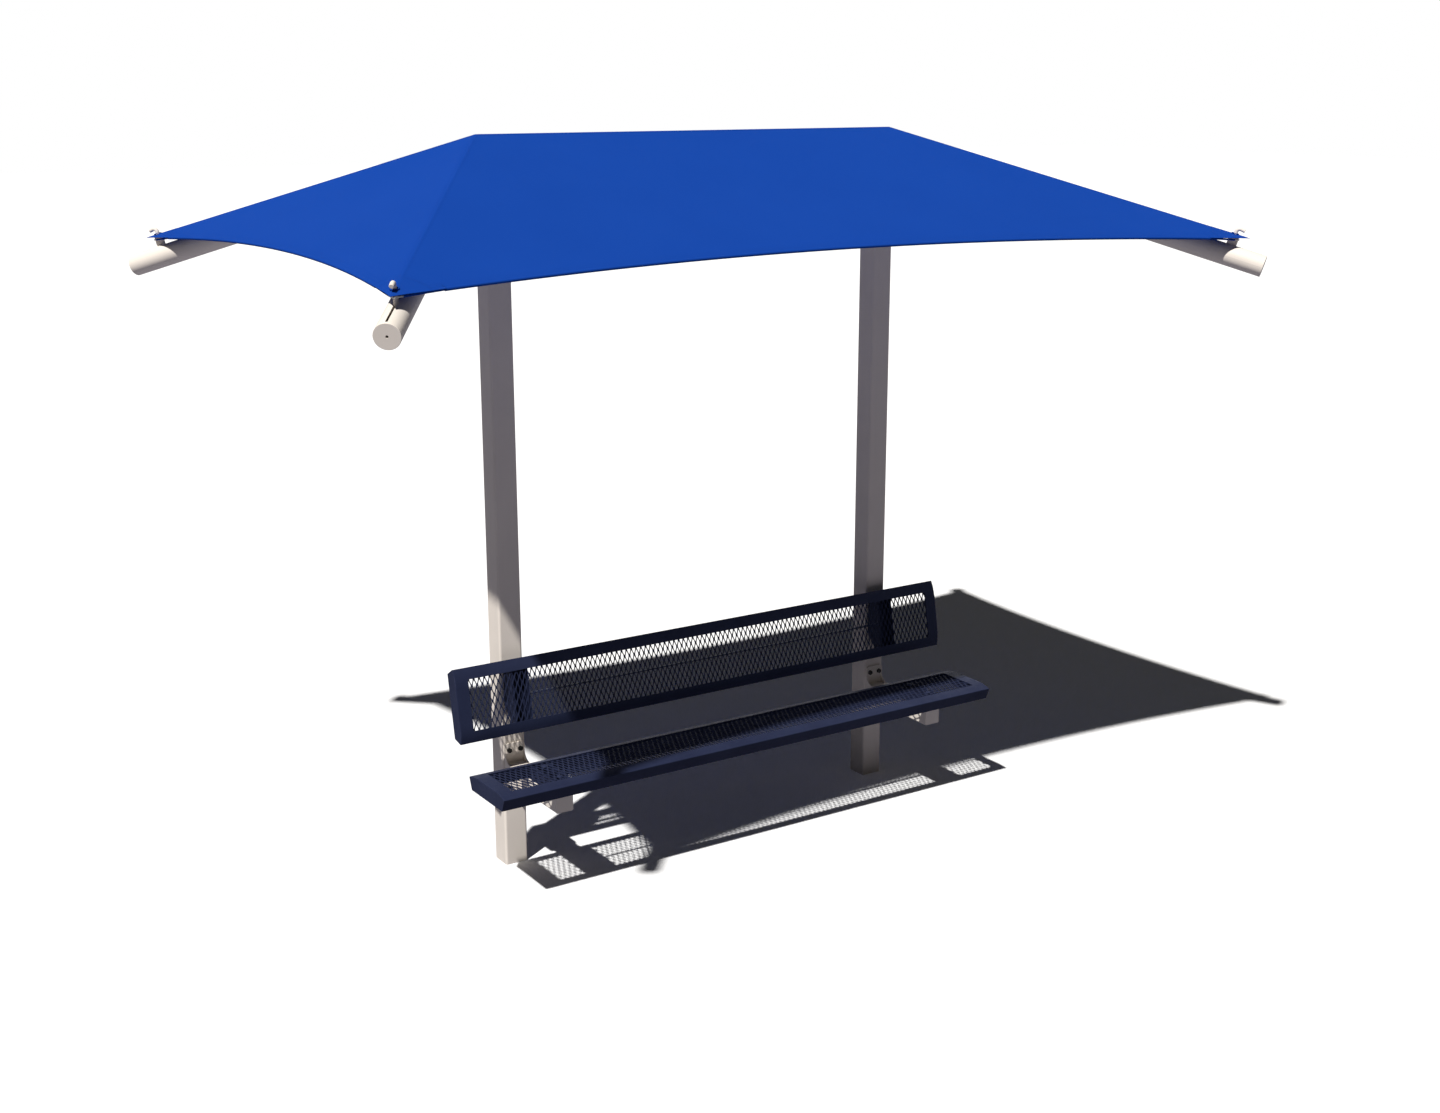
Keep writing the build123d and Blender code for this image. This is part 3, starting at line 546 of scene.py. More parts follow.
def corner_sides(sx, sy):
    """A corner's two eaves: label, the eave's side, and the way to the corner along it."""
    return ("long", (0, sy), sx), ("short", (sx, 0), sy)


def hem_stations(side, corner_sign, start, end, steps):
    """Along half an eave, from its middle at 0 to its corner at 1: edge point, way out and way up."""
    a, middle, b = eave(*side)
    centre = eave_centre(*side)
    up = panel_up(*side)
    stations = []
    for i in range(steps + 1):
        share = start + (end - start) * i / steps
        p = arc_point(a, middle, b, 0.5 + corner_sign * share / 2)
        stations.append((p, (centre - p).normalized(), up))
    return stations


def sleeve_section():
    """The folded hem with the cable's round sleeve, as (out, up) pairs from the edge on top."""
    top, under, fold = 0.35, -1.9, -38.0
    section = [
        (fold, under + 0.3), (fold - 0.4, -0.8), (fold, top * 0.6), (fold + 1.5, top),
        (-14.0, top), (-5.0, top),
    ]
    for k in range(1, 12):
        angle = math.pi / 2 - math.pi * k / 12
        out_by, up_by = 5.3 * math.cos(angle), (5.4 + top) * math.sin(angle)
        section.append((-5.0 + out_by, -HEM_DEPTH / MM + up_by))
    section += [
        (-5.0, -10.6), (-8.0, -9.6), (-10.3, -6.6), (-12.6, -3.6), (-15.5, -2.3), (-20.0, under),
    ]
    return [(a * MM, b * MM) for a, b in section]


def flat_section():
    """The same fold past the sleeve's end: two layers only."""
    section = (
        (-38.0, -1.6), (-38.4, -0.8), (-38.0, 0.2), (-36.5, 0.35), (-14.0, 0.35), (-0.8, 0.35),
        (-0.1, 0.0), (0.15, -0.7), (-0.1, -1.5), (-0.9, -1.9), (-14.0, -1.9),
    )
    return [(a * MM, b * MM) for a, b in section]


def folded_strip(name, stations, section, material):
    """A closed section carried along stations, with cloth coordinates along and round it."""
    verts, flat = [], []
    run = 0.0
    for i, (p, out, up) in enumerate(stations):
        if i:
            run += (p - stations[i - 1][0]).length
        verts += [p + out * a + up * b for a, b in section]
        flat += [(run, a - b) for a, b in section]
    obj = mesh_object(name, verts, tube_faces(len(stations), len(section)), material)
    cloth_coordinates(obj, lambda index, co: flat[index])
    return sharpen(edit_mesh(obj, turn_outward), 50)


hems = {}
for corner, sx, sy in CORNERS:
    hems[corner] = []
    for label, side, sign in corner_sides(sx, sy):
        half = eave_length(*side) / 2
        reach = 1 - PATCH_REACH / half
        tail = label + "_" + corner
        stations = hem_stations(side, sign, 0.0, reach, SLEEVE_STEPS[label])
        hems[corner].append(folded_strip("hem_" + tail, stations, sleeve_section(), cloth))
        stations = hem_stations(side, sign, reach - HEM_JOIN, 1 - HEM_STOP / half, HEM_END_STEPS)
        hems[corner].append(folded_strip("hem_end_" + tail, stations, flat_section(), cloth))
        stations = hem_stations(side, sign, 0.0, reach, STRAND_STEPS)
        line = [p - out * HEM_INSET - up * HEM_DEPTH for p, out, up in stations]
        strand = sweep_mesh("edge_cable_" + tail, line, circle(CABLE_R), steel_rope)
        tie_to_corner(strand)
        if tail == "long_front_left":
            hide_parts("edge_cable")


# Seams and stitches
SEAM_WIDTH = 0.026
SEAM_LIFT = 0.0002
SEAM_EDGE_LIFT = 0.00006
SEAM_ROW_SHARE = 0.36
HIP_SEAM_SHARE = 0.965
HEM_STITCH_ROWS = 0.0165, 0.0335
HEM_STITCH_STOP = 0.12
HEM_STITCH_LIFT = 0.0005


def stitch_row(bm, line, ups, pitch=0.0062, length=0.0042, radius=0.0004):
    """Small lens-shaped stitches along a line of points."""
    travelled, target = 0.0, pitch / 2
    for i in range(len(line) - 1):
        a, b = line[i], line[i + 1]
        span = (b - a).length
        if span < 1e-7:
            continue
        direction = (b - a) / span
        up = ups[i]
        side = direction.cross(up).normalized()
        while target <= travelled + span:
            centre = a + direction * (target - travelled)
            half = length / 2
            ring = [centre + side * radius, centre + up * radius, centre - side * radius]
            tips = [centre - direction * half, centre + direction * half]
            made = [bm.verts.new(p) for p in ring + tips]
            for k in range(3):
                p, q = made[k], made[(k + 1) % 3]
                bm.faces.new((p, q, made[4]))
                bm.faces.new((q, p, made[3]))
            target += pitch
        travelled += span


def surface_up(p):
    """Normal of the roof at a point."""
    e = 0.004
    dx = (roof_height(p.x + e, p.y) - roof_height(p.x - e, p.y)) / (2 * e)
    dy = (roof_height(p.x, p.y + e) - roof_height(p.x, p.y - e)) / (2 * e)
    return Vector((-dx, -dy, 1)).normalized()


def hip_line(sx, sy, last, steps):
    """Points down a hip from the ridge's end to a share of the hip."""
    top, bottom = ridge_end(sx), corner_point(sx, sy)
    return [on_roof(top.lerp(bottom, last * i / steps), 0.0) for i in range(steps + 1)]


def on_roof(p, lift):
    return Vector((p.x, p.y, roof_height(p.x, p.y) + lift))


def draped_strip(name, centre, side, lanes=6):
    """A seam laid on the roof: its cross lanes follow the roof on both sides of a fold."""
    verts = []
    for p in centre:
        for k in range(lanes + 1):
            share = 2 * k / lanes - 1
            lift = SEAM_EDGE_LIFT if k in (0, lanes) else SEAM_LIFT
            verts.append(on_roof(p + side * (share * SEAM_WIDTH / 2), lift))
    obj = mesh_object(name, verts, sheet_faces(len(centre), lanes + 1), seam_cloth)
    cloth_coordinates(obj, lambda _, co: (co.x * 0.7 + co.y * 0.7, co.y * 0.7 - co.x * 0.7))
    edit_mesh(obj, turn_outward)
    return edit_mesh(obj, turn_upward)


seams = {}
for corner, sx, sy in CORNERS:
    line = hip_line(sx, sy, HIP_SEAM_SHARE, 90)
    plan = line[-1] - line[0]
    across = Vector((-plan.y, plan.x, 0)).normalized()
    hip_seam = draped_strip("hip_seam_" + corner, line, across)
    ridge = [Vector((sx * RIDGE_X * (1 - i / 60), 0, RIDGE_Z)) for i in range(61)]
    bm = bmesh.new()
    for points, away in (
        (line, across * (-SEAM_ROW_SHARE * SEAM_WIDTH)),
        (line, across * (SEAM_ROW_SHARE * SEAM_WIDTH)),
        (ridge, Vector((0, sy * SEAM_ROW_SHARE * SEAM_WIDTH, 0))),
    ):
        row = [on_roof(p + away, SEAM_LIFT) for p in points]
        stitch_row(bm, row, [surface_up(p) for p in row])
    for _, side, sign in corner_sides(sx, sy):
        stop = 1 - HEM_STITCH_STOP / (eave_length(*side) / 2)
        for offset in HEM_STITCH_ROWS:
            stations = hem_stations(side, sign, 0.0, stop, 120)
            row = [p - out * offset + up * HEM_STITCH_LIFT for p, out, up in stations]
            stitch_row(bm, row, [stations[0][2]] * len(row))
    seams[corner] = [hip_seam, bmesh_object("stitches_" + corner, bm, thread_painted_light)]

ridge_line = [Vector((RIDGE_X * (2 * i / 120 - 1), 0, RIDGE_Z)) for i in range(121)]
ridge_seam = draped_strip("ridge_seam", ridge_line, Vector((0, 1, 0)))
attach(ridge_seam, "frame")


# Corner reinforcement: a doubled patch with a rounded inner edge, a corded eyelet round the horn
PATCH_SHARES = {"long": 0.12, "short": 0.16}
PATCH_INNER, PATCH_OUTER = 0.006, 0.165
PATCH_LIFT = 0.0009
PATCH_RINGS, PATCH_SPOKES = 14, 20
PATCH_STITCH_ROWS = 0.157, 0.150
PATCH_STITCH_LIFT = 0.0014
EYELET_SECTION = (
    (0.0100, 0.0), (0.0104, 0.0014), (0.0116, 0.0022), (0.0140, 0.0022), (0.0158, 0.0012),
    (0.0162, -0.0004), (0.0100, -0.0004),
)
EYELET_LIFT = 0.0006


def corner_parts(corner, sx, sy):
    apex = corner_point(sx, sy)
    ways = []
    for label, side, sign in corner_sides(sx, sy):
        share = PATCH_SHARES[label]
        away = arc_point(*eave(*side), share if sign < 0 else 1 - share)
        ways.append((away - apex).normalized())

    def patch_point(r, t, lift):
        direction = (ways[0] * (1 - t) + ways[1] * t).normalized()
        return on_roof(apex + direction * r, lift)

    verts = []
    for i in range(PATCH_RINGS + 1):
        r = PATCH_INNER + (PATCH_OUTER - PATCH_INNER) * i / PATCH_RINGS
        for k in range(PATCH_SPOKES + 1):
            edge = i in (0, PATCH_RINGS) or k in (0, PATCH_SPOKES)
            lift = 0.0 if edge else PATCH_LIFT
            verts.append(patch_point(r, 0.03 + 0.94 * k / PATCH_SPOKES, lift + SEAM_LIFT))
    faces = sheet_faces(PATCH_RINGS + 1, PATCH_SPOKES + 1)
    patch = mesh_object("corner_patch_" + corner, verts, faces, seam_cloth)
    cloth_coordinates(patch, lambda _, co: (co.x, co.y))
    edit_mesh(patch, turn_upward)
    bm = bmesh.new()
    for r in PATCH_STITCH_ROWS:
        row = [patch_point(r, 0.05 + 0.9 * k / 40, PATCH_STITCH_LIFT) for k in range(41)]
        stitch_row(bm, row, [Vector((0, 0, 1))] * len(row))
    stitches = bmesh_object("patch_stitches_" + corner, bm, thread_painted_light)
    stem = along_rafter(sx, sy, STEM_T, CORNER_H)
    _, axis, side, up = rafter_frame(sx, sy)
    verts, faces = [], []
    count, sides = 40, len(EYELET_SECTION)
    for k in range(count):
        a = TAU * k / count
        radial = axis * math.cos(a) + side * math.sin(a)
        verts += [stem + radial * r + up * (h + EYELET_LIFT) for r, h in EYELET_SECTION]
        here, there = k * sides, (k + 1) % count * sides
        for j in range(sides):
            m = (j + 1) % sides
            faces.append((here + j, here + m, there + m, there + j))
    eyelet = mesh_object("corded_eyelet_" + corner, verts, faces, seam_cloth)
    return patch, stitches, eyelet


def flat_cut(sx, sy):
    """A quarter laid flat about its hip: the rectangle that it is cut from, and its own area."""
    hip_end, top = corner_point(sx, sy), ridge_end(sx)
    hip = (top - hip_end).normalized()
    outline, area = [], 0.0
    steps = 40
    for label, side, sign in corner_sides(sx, sy):
        shares = [i / steps / 2 if sign < 0 else 1 - i / steps / 2 for i in range(steps + 1)]
        line = [arc_point(*eave(*side), share) for share in shares]
        last = Vector((0, 0, RIDGE_Z)) if label == "long" else top
        fan = [top, *line, last]
        way = 1 if label == "long" else -1
        for p in fan:
            d = p - hip_end
            along = d.dot(hip)
            outline.append((along, way * (d - hip * along).length))
        for p, q in zip(fan[1:], fan[2:]):
            area += ((p - top).cross(q - top)).length / 2
    size = [max(p[k] for p in outline) - min(p[k] for p in outline) for k in (0, 1)]
    return tuple(round(x, 3) for x in size), round(area, 4)


for corner, sx, sy in CORNERS:
    patch, patch_stitches, eyelet = corner_parts(corner, sx, sy)
    for piece in (quarters[corner], *hems[corner], *seams[corner], patch, patch_stitches):
        tie_to_corner(piece)
    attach(eyelet, "tensioner_" + corner)
    flat, area = flat_cut(sx, sy)
    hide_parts("canopy_corner_" + corner)

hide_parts("canopy_front", "canopy_left")
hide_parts("canopy_rear", "canopy_right")


# Edge cables: six wires laid round a core, where they leave the hems and turn round the hooks
HOOK_SEAT_PAST, HOOK_SEAT_BELOW = 0.022, 0.020
TURN_RADIUS = 0.014
RUN_STEPS, TURN_STEPS = 40, 16
ROPE_STEP, ROPE_PITCH = 0.0022, 0.030
CUFF_POINTS, CUFF_START, CUFF_WALL = 36, 0.008, 0.0006


def rope_points(sx, sy):
    """Centre line of a cable's turn round its hook, as in the CAD model."""
    def hem_end(side, sign):
        share = PATCH_REACH / eave_length(*side)
        p = arc_point(*eave(*side), share if sign < 0 else 1 - share)
        return p + (p - eave_centre(*side)).normalized() * HEM_INSET - panel_up(*side) * HEM_DEPTH

    p, q = hem_end((0, sy), sx), hem_end((sx, 0), sy)
    seat = along_rafter(sx, sy, STEM_T + HOOK_SEAT_PAST, CORNER_H - HOOK_SEAT_BELOW)
    outward = -((p - seat).normalized() + (q - seat).normalized()).normalized()
    apex = seat
    for _ in range(4):
        opening = (p - apex).angle(q - apex)
        apex = seat + outward * (TURN_RADIUS * (1 / math.sin(opening / 2) - 1))
    run_p, run_q = (p - apex).normalized(), (q - apex).normalized()
    half = run_p.angle(run_q) / 2
    back = TURN_RADIUS / math.tan(half)
    centre = apex + (run_p + run_q).normalized() * (TURN_RADIUS / math.sin(half))
    start, end = apex + run_p * back, apex + run_q * back
    arm_a, arm_b = start - centre, end - centre
    total = arm_a.angle(arm_b)
    turn_axis = arm_a.cross(arm_b).normalized()
    points = [p.lerp(start, i / RUN_STEPS) for i in range(RUN_STEPS)]
    for i in range(TURN_STEPS + 1):
        points.append(centre + Quaternion(turn_axis, total * i / TURN_STEPS) @ arm_a)
    return points + [end.lerp(q, i / RUN_STEPS) for i in range(1, RUN_STEPS + 1)]


def wire_rope(name, points, radius, pitch, strands=6, sides=6):
    frames = frames_along(points)
    strand_r = radius / 3.0
    lay_r = radius - strand_r
    travelled = [0.0]
    for i in range(1, len(points)):
        travelled.append(travelled[-1] + (points[i] - points[i - 1]).length)
    verts, faces = [], []
    for s in range(strands + 1):
        offset = 0 if s == strands else lay_r
        faces += tube_faces(len(frames), sides, len(verts))
        for (p, tangent, side, up), d in zip(frames, travelled):
            angle = TAU * (s / strands + d / pitch)
            out = side * math.cos(angle) + up * math.sin(angle)
            round_dir = tangent.cross(out)
            centre = p + out * offset
            verts += [centre + out * a + round_dir * b for a, b in circle(strand_r, sides)]
    return mesh_object(name, verts, faces, steel_rope)


def resample(points, step):
    out = [points[0]]
    carry = 0.0
    for a, b in zip(points, points[1:]):
        span = (b - a).length
        t = step - carry
        while t <= span:
            out.append(a.lerp(b, t / span))
            t += step
        carry = span - (t - step)
    if (out[-1] - points[-1]).length > step * 0.3:
        out.append(points[-1])
    return out


for corner, sx, sy in CORNERS:
    path = rope_points(sx, sy)
    rope = wire_rope("edge_cable_turn_" + corner, resample(path, ROPE_STEP), CABLE_R, ROPE_PITCH)
    tie_to_corner(rope)
    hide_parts("cable_loop_" + corner)
    for label, part in (("long", path[:CUFF_POINTS]), ("short", path[:-CUFF_POINTS - 1:-1])):
        part = [part[0] + (part[0] - part[1]).normalized() * CUFF_START] + part
        stations = [(p, side, up) for p, _, side, up in frames_along(part)]
        section = circle(CABLE_R + CUFF_WALL, 16)
        name = "cable_cuff_" + label + "_" + corner
        cuff = folded_strip(name, stations, section, seam_cloth)
        tie_to_corner(cuff)


# Expanded metal: diamonds with slanted, rounded strands, cut to the window in a plank's rim
PITCH_X, PITCH_Y = 23.4 * MM, 50.8 * MM
DIAMOND_HOLE = ((6.9, -4.2), (6.9, 0), (6.9, 4.2), (0.9, 19.4), (0, 19.8), (-0.9, 19.4))
STRAND_TILT = 0.22


def opposite_too(points):
    return [*points, *((-x, -y) for x, y in points)]


def expanded_metal(length, width):
    bm = bmesh.new()
    hole = opposite_too([(x * MM, y * MM) for x, y in DIAMOND_HOLE])
    hx, hy = PITCH_X / 2, PITCH_Y / 2
    rim = opposite_too((
        (hx * 0.86, -hy * 0.14), (hx, 0), (hx * 0.86, hy * 0.14),
        (hx * 0.12, hy * 0.88), (0, hy), (-hx * 0.12, hy * 0.88),
    ))
    half_l, half_w = length / 2, width / 2
    columns = int(half_l / PITCH_X) + 2
    rows = int(half_w / PITCH_Y) + 2
    count = len(hole)
    for j in range(-2 * rows, 2 * rows + 1):
        for i in range(-columns, columns + 1):
            cx = (i + 0.5 * (j % 2)) * PITCH_X
            cy = j * PITCH_Y / 2
            if abs(cx) > half_l + hx or abs(cy) > half_w + hy:
                continue
            outer = [bm.verts.new((cx + x, cy + y, 0)) for x, y in rim]
            inner = [bm.verts.new((cx + x, cy + y, -STRAND_TILT * x * 0.45)) for x, y in hole]
            for k in range(count):
                m = (k + 1) % count
                bm.faces.new((outer[k], outer[m], inner[m], inner[k]))
    bmesh.ops.remove_doubles(bm, verts=bm.verts, dist=0.00002)
    for axis, limit in ((0, half_l), (1, half_w)):
        for sign in (-1, 1):
            co, no = Vector((0, 0, 0)), Vector((0, 0, 0))
            co[axis], no[axis] = sign * limit, sign
            geometry = list(bm.verts) + list(bm.edges) + list(bm.faces)
            bmesh.ops.bisect_plane(bm, geom=geometry, plane_co=co, plane_no=no, clear_outer=True)
    return bm


# The planks' profile: flat in the middle, rolled down to the long edges
PLANK = (2438.4 * MM, 304.8 * MM)
ROLL_REACH, ROLL_DROP = 75.0 * MM, 14.5 * MM
ROLL_RADIUS = (ROLL_REACH**2 + ROLL_DROP**2) / (2 * ROLL_DROP)
RIM_SIDE, RIM_END = 48.0 * MM, 57.0 * MM
OVERLAP = 11.0 * MM
WALL = 4.5 * MM
MESH_THICK = 3.8 * MM
MESH_INSET = WALL + (0.3 + 2.0) * MM
SEAT_EDGE_Z = 503.3 * MM
RECLINE = 10.45
seat_place = Matrix.Translation((0, -380.5 * MM, SEAT_EDGE_Z))
back_place = Matrix.Translation((0, -132.5 * MM, 761.8 * MM))
back_place @= Matrix.Rotation(math.radians(90 - RECLINE), 4, "X")


def plank_height(y):
    past_flat = max(0.0, abs(y) - (PLANK[1] / 2 - ROLL_REACH))
    return ROLL_DROP - ROLL_RADIUS + math.sqrt(ROLL_RADIUS**2 - past_flat**2)


def plank_net(name, place, replaced):
    net_length = PLANK[0] - 2 * RIM_END + 2 * OVERLAP
    net_width = PLANK[1] - 2 * RIM_SIDE + 2 * OVERLAP
    bm = expanded_metal(net_length, net_width)
    for v in bm.verts:
        x, y, z = v.co
        v.co = place @ Vector((x, y, plank_height(y) - MESH_INSET + z))
    obj = bmesh_object(name, bm, navy)
    thick = obj.modifiers.new("sheet", "SOLIDIFY")
    thick.thickness = MESH_THICK
    thick.offset = 0
    rounding = obj.modifiers.new("rounding", "SUBSURF")
    rounding.levels = rounding.render_levels = 1
    apply_modifiers(obj)
    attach(obj, "frame")
    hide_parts(replaced)


plank_net("seat_expanded_metal", seat_place, "seat_mesh")
plank_net("back_expanded_metal", back_place, "back_mesh")


# Fasteners at the CAD model's places: chamfered hex heads, domed heads and nylon-insert nuts
def lathe(bm, profile, sides, where, flats=None):
    """Turns a profile of (radius, height) pairs; flats maps a ring to its hexagon's half width."""
    rings = []
    for index, (r, h) in enumerate(profile):
        ring = []
        for k in range(sides):
            a = TAU * k / sides
            radius = r
            if flats and index in flats:
                local = (a + math.pi / 6) % (math.pi / 3) - math.pi / 6
                radius = min(r, flats[index] / math.cos(local))
            spot = Vector((radius * math.cos(a), radius * math.sin(a), h))
            ring.append(bm.verts.new(where @ spot))
        rings.append(ring)
    for lower, upper in zip(rings, rings[1:]):
        for k in range(sides):
            m = (k + 1) % sides
            bm.faces.new((lower[k], lower[m], upper[m], upper[k]))
    bm.faces.new(list(reversed(rings[0])))
    bm.faces.new(rings[-1])


def facing(point, direction):
    """Matrix that puts +Z along a direction at a point."""
    turn = Vector((0, 0, 1)).rotation_difference(direction)
    return Matrix.Translation(point) @ turn.to_matrix().to_4x4()


HEX_HALF = 9.5 * MM
HEX_CORNER = HEX_HALF / math.cos(math.pi / 6)
HEAD_HEIGHT = 7.6 * MM
SHANK_R, THREAD_R = 6.35 * MM, 5.9 * MM
DOME_R, DOME_HEIGHT = 12.5, 6.0


def hex_head(bm, point, outward):
    c = HEX_CORNER
    profile = ((c, 0.0), (c, 6.4 * MM), (c * 0.93, HEAD_HEIGHT), (c * 0.86, HEAD_HEIGHT))
    flats = {0: HEX_HALF, 1: HEX_HALF, 2: HEX_HALF * 0.985}
    lathe(bm, profile, 36, facing(point, outward), flats)


def lock_nut(bm, point, outward):
    c = HEX_CORNER
    profile = (
        (c * 0.95, 0.0), (c, 0.8 * MM), (c, 6.2 * MM), (c * 0.9, 7.4 * MM),
        (8.3 * MM, 7.6 * MM), (8.0 * MM, 9.6 * MM), (6.7 * MM, 10.0 * MM),
    )
    where = facing(point, outward)
    lathe(bm, profile, 36, where, {ring: HEX_HALF for ring in range(4)})
    shank = [(SHANK_R, 0.0)]
    for i in range(3):
        shank += [(SHANK_R, (10.2 + i) * MM), (THREAD_R, (10.7 + i) * MM)]
    shank.append((5.2 * MM, 13.0 * MM))
    lathe(bm, shank, 24, where)


def dome_head(bm, point, outward):
    """A low dome with a hexagon socket, by the ball that it is cut from."""
    profile = [(DOME_R * MM, 0.0)]
    ball = (DOME_R**2 + DOME_HEIGHT**2) / (2 * DOME_HEIGHT)
    for i in range(1, 8):
        a = math.asin(DOME_R / ball) * (1 - i / 8)
        height = ball * math.cos(a) - (ball - DOME_HEIGHT)
        profile.append((ball * math.sin(a) * MM, height * MM))
    where = facing(point, outward)
    lathe(bm, profile, 36, where)
    socket = ((3.6 * MM, 5.6 * MM), (3.6 * MM, 6.15 * MM))
    lathe(bm, socket, 6, where)


def bolt_group(name, kind, replaced, head=hex_head, material=zinc):
    bm = bmesh.new()
    for point, direction, _ in bolts[kind]:
        head(bm, point, -direction)
    obj = sharpen(bmesh_object(name, bm, material))
    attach(obj, "frame")
    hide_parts(replaced)


# Where the bolts are, in millimetres where they are counted off a height or a depth
HEAD_BOLT_DEPTHS = 66.0, 142.0
BEAM_BOLT_OFFSET = (100.0 + 70.0) * MM
RAFTER_BOLT_OFFSET = (115.0 + 70.0) * MM
BRACKET_BOLT_HEIGHTS, BRACKET_BOLT_SIDES = (505.0, 346.0), (-25.4, 25.4)
ARM_BOLT_DEPTHS = -92.0, -140.0
BACK_BOLT_HEIGHTS = 806.0, 748.0
SEAT_BOLT_DEPTHS = -446.0, -318.0
POST_TOP = NODE_Z - (76.0 + 12.7) * MM
PLATE = 6.4 * MM
BRACKET_Y = -POST_HALF - PLATE
RIDGE_BEAM_Z = RIDGE_Z - (1.5 + 0.3) * MM - RAFTER_R / math.cos(math.atan(FRONT_SLOPE))
ARM_TOP, ARM_BOTTOM = 452.0 * MM, (452.0 - 76.2) * MM
OUTER_HALF = (38.1 + 0.5) * MM + PLATE
SEAT_BOLT_TOP = SEAT_EDGE_Z + ROLL_DROP - WALL
back_way = Vector((0, 1, 0))
side_way = Vector((1, 0, 0))
down_way = Vector((0, 0, -1))

# Each bolt: the point under its head, its direction and its grip
bolts = {kind: [] for kind in ("head", "rafter", "bracket", "arm", "back", "seat")}
for sx in (-1, 1):
    x = sx * POST_X
    for depth in HEAD_BOLT_DEPTHS:
        place = Vector((x, -POST_HALF, POST_TOP - depth * MM))
        bolts["head"].append((place, back_way, 2 * POST_HALF))
    place = Vector((sx * (HEAD_X - BEAM_BOLT_OFFSET), -RAFTER_R, RIDGE_BEAM_Z))
    bolts["rafter"].append((place, back_way, 2 * RAFTER_R))
    for z in BRACKET_BOLT_HEIGHTS:
        for offset in BRACKET_BOLT_SIDES:
            place = Vector((x + offset * MM, BRACKET_Y, z * MM))
            bolts["bracket"].append((place, back_way, 2 * POST_HALF + PLATE))
    for y in ARM_BOLT_DEPTHS:
        place = Vector((x - OUTER_HALF, y * MM, (ARM_TOP + ARM_BOTTOM) / 2))
        bolts["arm"].append((place, side_way, 2 * OUTER_HALF))
    for z in BACK_BOLT_HEIGHTS:
        place = Vector((x, BRACKET_Y, z * MM))
        bolts["back"].append((place, back_way, 2 * POST_HALF + PLATE))
    for y in SEAT_BOLT_DEPTHS:
        place = Vector((x, y * MM, SEAT_BOLT_TOP))
        bolts["seat"].append((place, down_way, SEAT_BOLT_TOP - ARM_BOTTOM))
for corner, sx, sy in CORNERS:
    _, _, side, _ = rafter_frame(sx, sy)
    centre = along_rafter(sx, sy, RAFTER_BOLT_OFFSET)
    bolts["rafter"].append((centre - side * RAFTER_R, side, 2 * RAFTER_R))

bolt_group("post_head_bolt_heads", "head", "head_bolts")
bolt_group("rafter_bolt_heads", "rafter", "rafter_bolts")
# The seat and back bracket bolts get the dark steel: a real finish that also paints in the shade on the
# brackets.
bolt_group("seat_bracket_bolt_heads", "bracket", "seat_bracket_bolts", material=black_oxide_painted_shade)
bolt_group("arm_bolt_heads", "arm", "arm_bolts")
bolt_group("back_bracket_bolt_heads", "back", "back_bolts", material=black_oxide_painted_shade)
bolt_group("seat_bolt_heads", "seat", "seat_bolts", dome_head, navy)
bm = bmesh.new()
for group in bolts.values():
    for point, direction, grip in group:
        lock_nut(bm, point + direction * grip, direction)
nuts = sharpen(bmesh_object("nylon_insert_nuts", bm, zinc))
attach(nuts, "frame")
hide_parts("lock_nuts")


# CAD pieces that stay get their materials
def dress(prefixes, material):
    for name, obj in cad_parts.items():
        if name.startswith(prefixes) and not obj.hide_render:
            for material_slot in obj.material_slots:
                material_slot.material = material
            if not obj.material_slots:
                obj.data.materials.append(material)


dress((
    "left_post", "right_post", "ridge_beam", "rafter_", "left_seat_arm", "right_seat_arm",
    "arm_caps", "left_seat_bracket", "right_seat_bracket", "tension_hook",
), almond)
dress((
    "seat_frame", "back_frame", "seat_stringer", "back_stringer", "left_back_bracket",
    "right_back_bracket", "left_seat_saddle", "right_seat_saddle",
), navy)
# The tension screws' dark steel is painted shade for the dark insides of the rafters' slots.
dress(("tension_screw",), black_oxide_painted_shade)
dress(("thrust_plates",), zinc)


# Floor, light and camera: the floor is white to the camera and grey to the light it sends back
FLOOR_GREY = (0.235, 0.235, 0.285)
FLOOR_REACH, FLOOR_Z = 60, -0.0005
SKY_LIGHT, SKY_SEEN = 0.035, 1.0


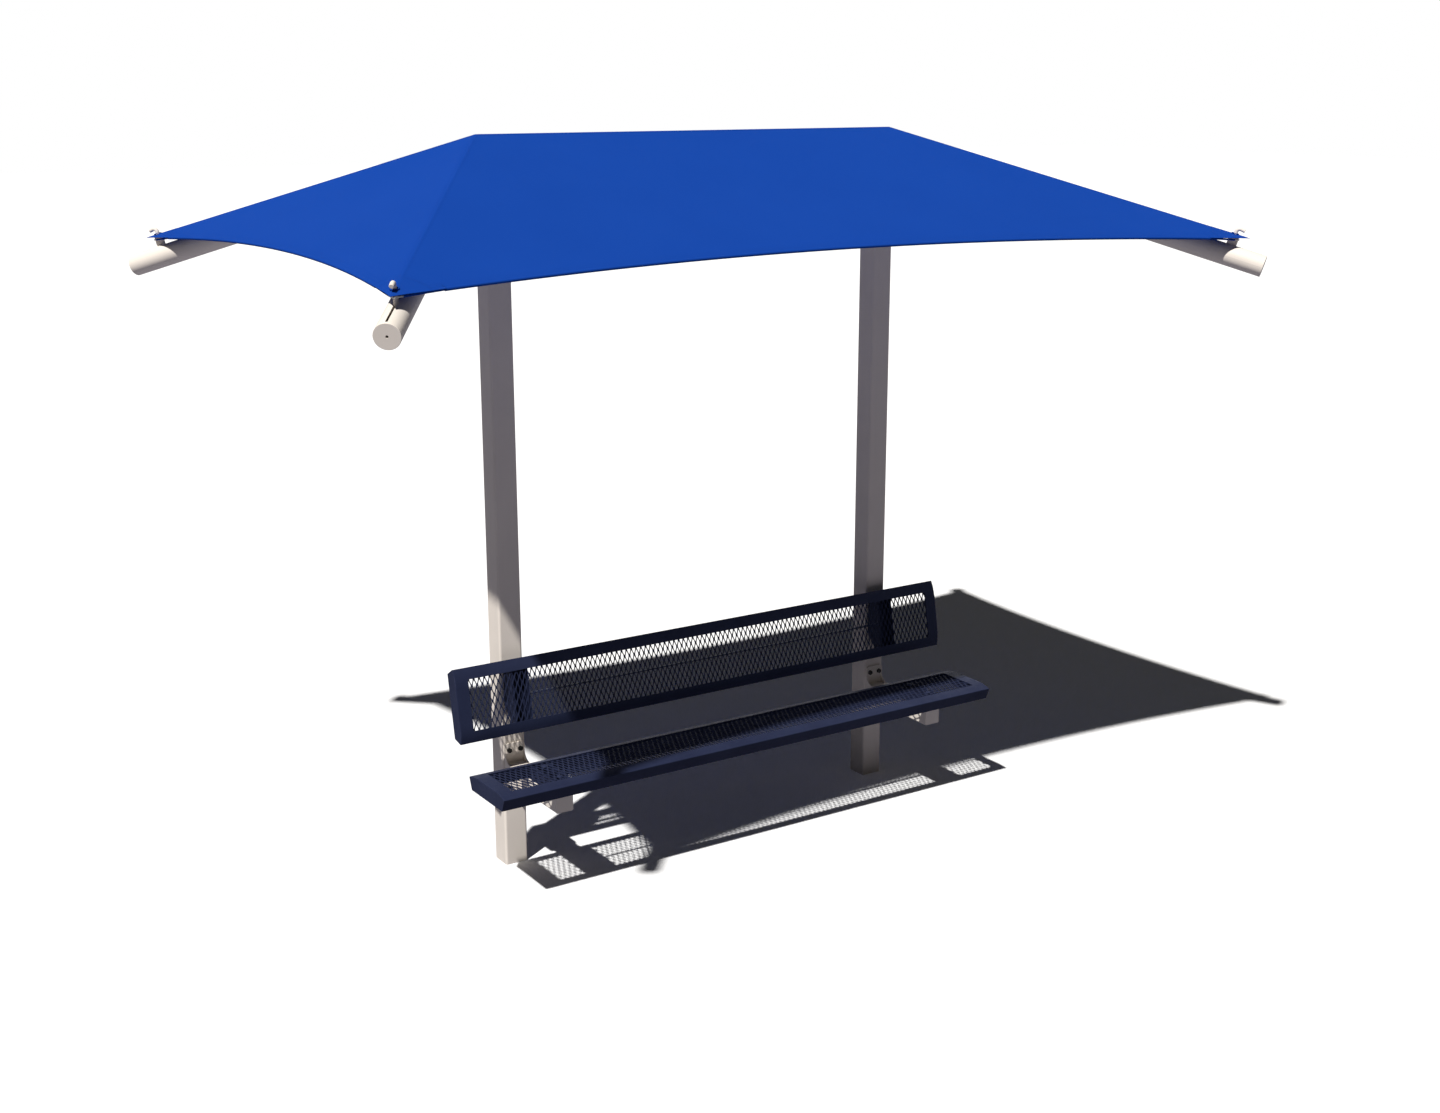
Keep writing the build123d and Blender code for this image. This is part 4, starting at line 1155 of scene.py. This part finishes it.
def floor_material():
    material, tree, shader = new_material("floor", FLOOR_GREY, 0.9)
    path = tree.nodes.new("ShaderNodeLightPath")
    tint = node(tree, "ShaderNodeMix", data_type="RGBA")
    tint.inputs["A"].default_value = (*FLOOR_GREY, 1)
    tint.inputs["B"].default_value = (1.0, 1.0, 1.0, 1)
    tree.links.new(path.outputs["Is Camera Ray"], tint.inputs["Factor"])
    tree.links.new(tint.outputs["Result"], shader.inputs["Base Color"])
    shader.inputs["Specular IOR Level"].default_value = 0.0
    return material


square = ((-1, -1), (1, -1), (1, 1), (-1, 1))
floor_corners = [(x * FLOOR_REACH, y * FLOOR_REACH, FLOOR_Z) for x, y in square]
floor = mesh_object("floor", floor_corners, [(0, 1, 2, 3)], floor_material(), smooth=False)

world = bpy.data.worlds.new("studio")
bpy.context.scene.world = world
world.use_nodes = True
tree = world.node_tree
background = tree.nodes["Background"]
background.inputs["Color"].default_value = (1, 1, 1, 1)
path = tree.nodes.new("ShaderNodeLightPath")
seen = path.outputs["Is Camera Ray"]
for ray in ("Is Glossy Ray", "Is Transmission Ray"):
    either = node(tree, "ShaderNodeMath", [(0, seen), (1, path.outputs[ray])], operation="MAXIMUM")
    seen = either.outputs[0]
level = node(tree, "ShaderNodeMapRange", [("Value", seen)])
level.inputs["To Min"].default_value = SKY_LIGHT
level.inputs["To Max"].default_value = SKY_SEEN
tree.links.new(level.outputs["Result"], background.inputs["Strength"])

sun_data = bpy.data.lights.new("key", "SUN")
sun_data.energy = 4.5
sun_data.angle = math.radians(1.2)
sun_data.color = (1.0, 0.985, 0.96)
sun = bpy.data.objects.new("key", sun_data)
sun.rotation_euler = Vector((0.584, 0.361, -1.0)).to_track_quat("-Z", "Y").to_euler()
bpy.context.scene.collection.objects.link(sun)

camera_data = bpy.data.cameras.new("camera")
camera_data.lens = 45.85
camera_data.sensor_width = 36.0
camera_data.sensor_fit = "HORIZONTAL"
camera_data.clip_end = 200
camera = bpy.data.objects.new("camera", camera_data)
camera.location = (-4.1022, -6.4580, 3.1767)
camera.rotation_euler = (math.radians(90 - 14.643), 0, math.radians(-33.134))
bpy.context.scene.collection.objects.link(camera)
bpy.context.scene.camera = camera
bpy.context.scene.view_settings.view_transform = "Standard"
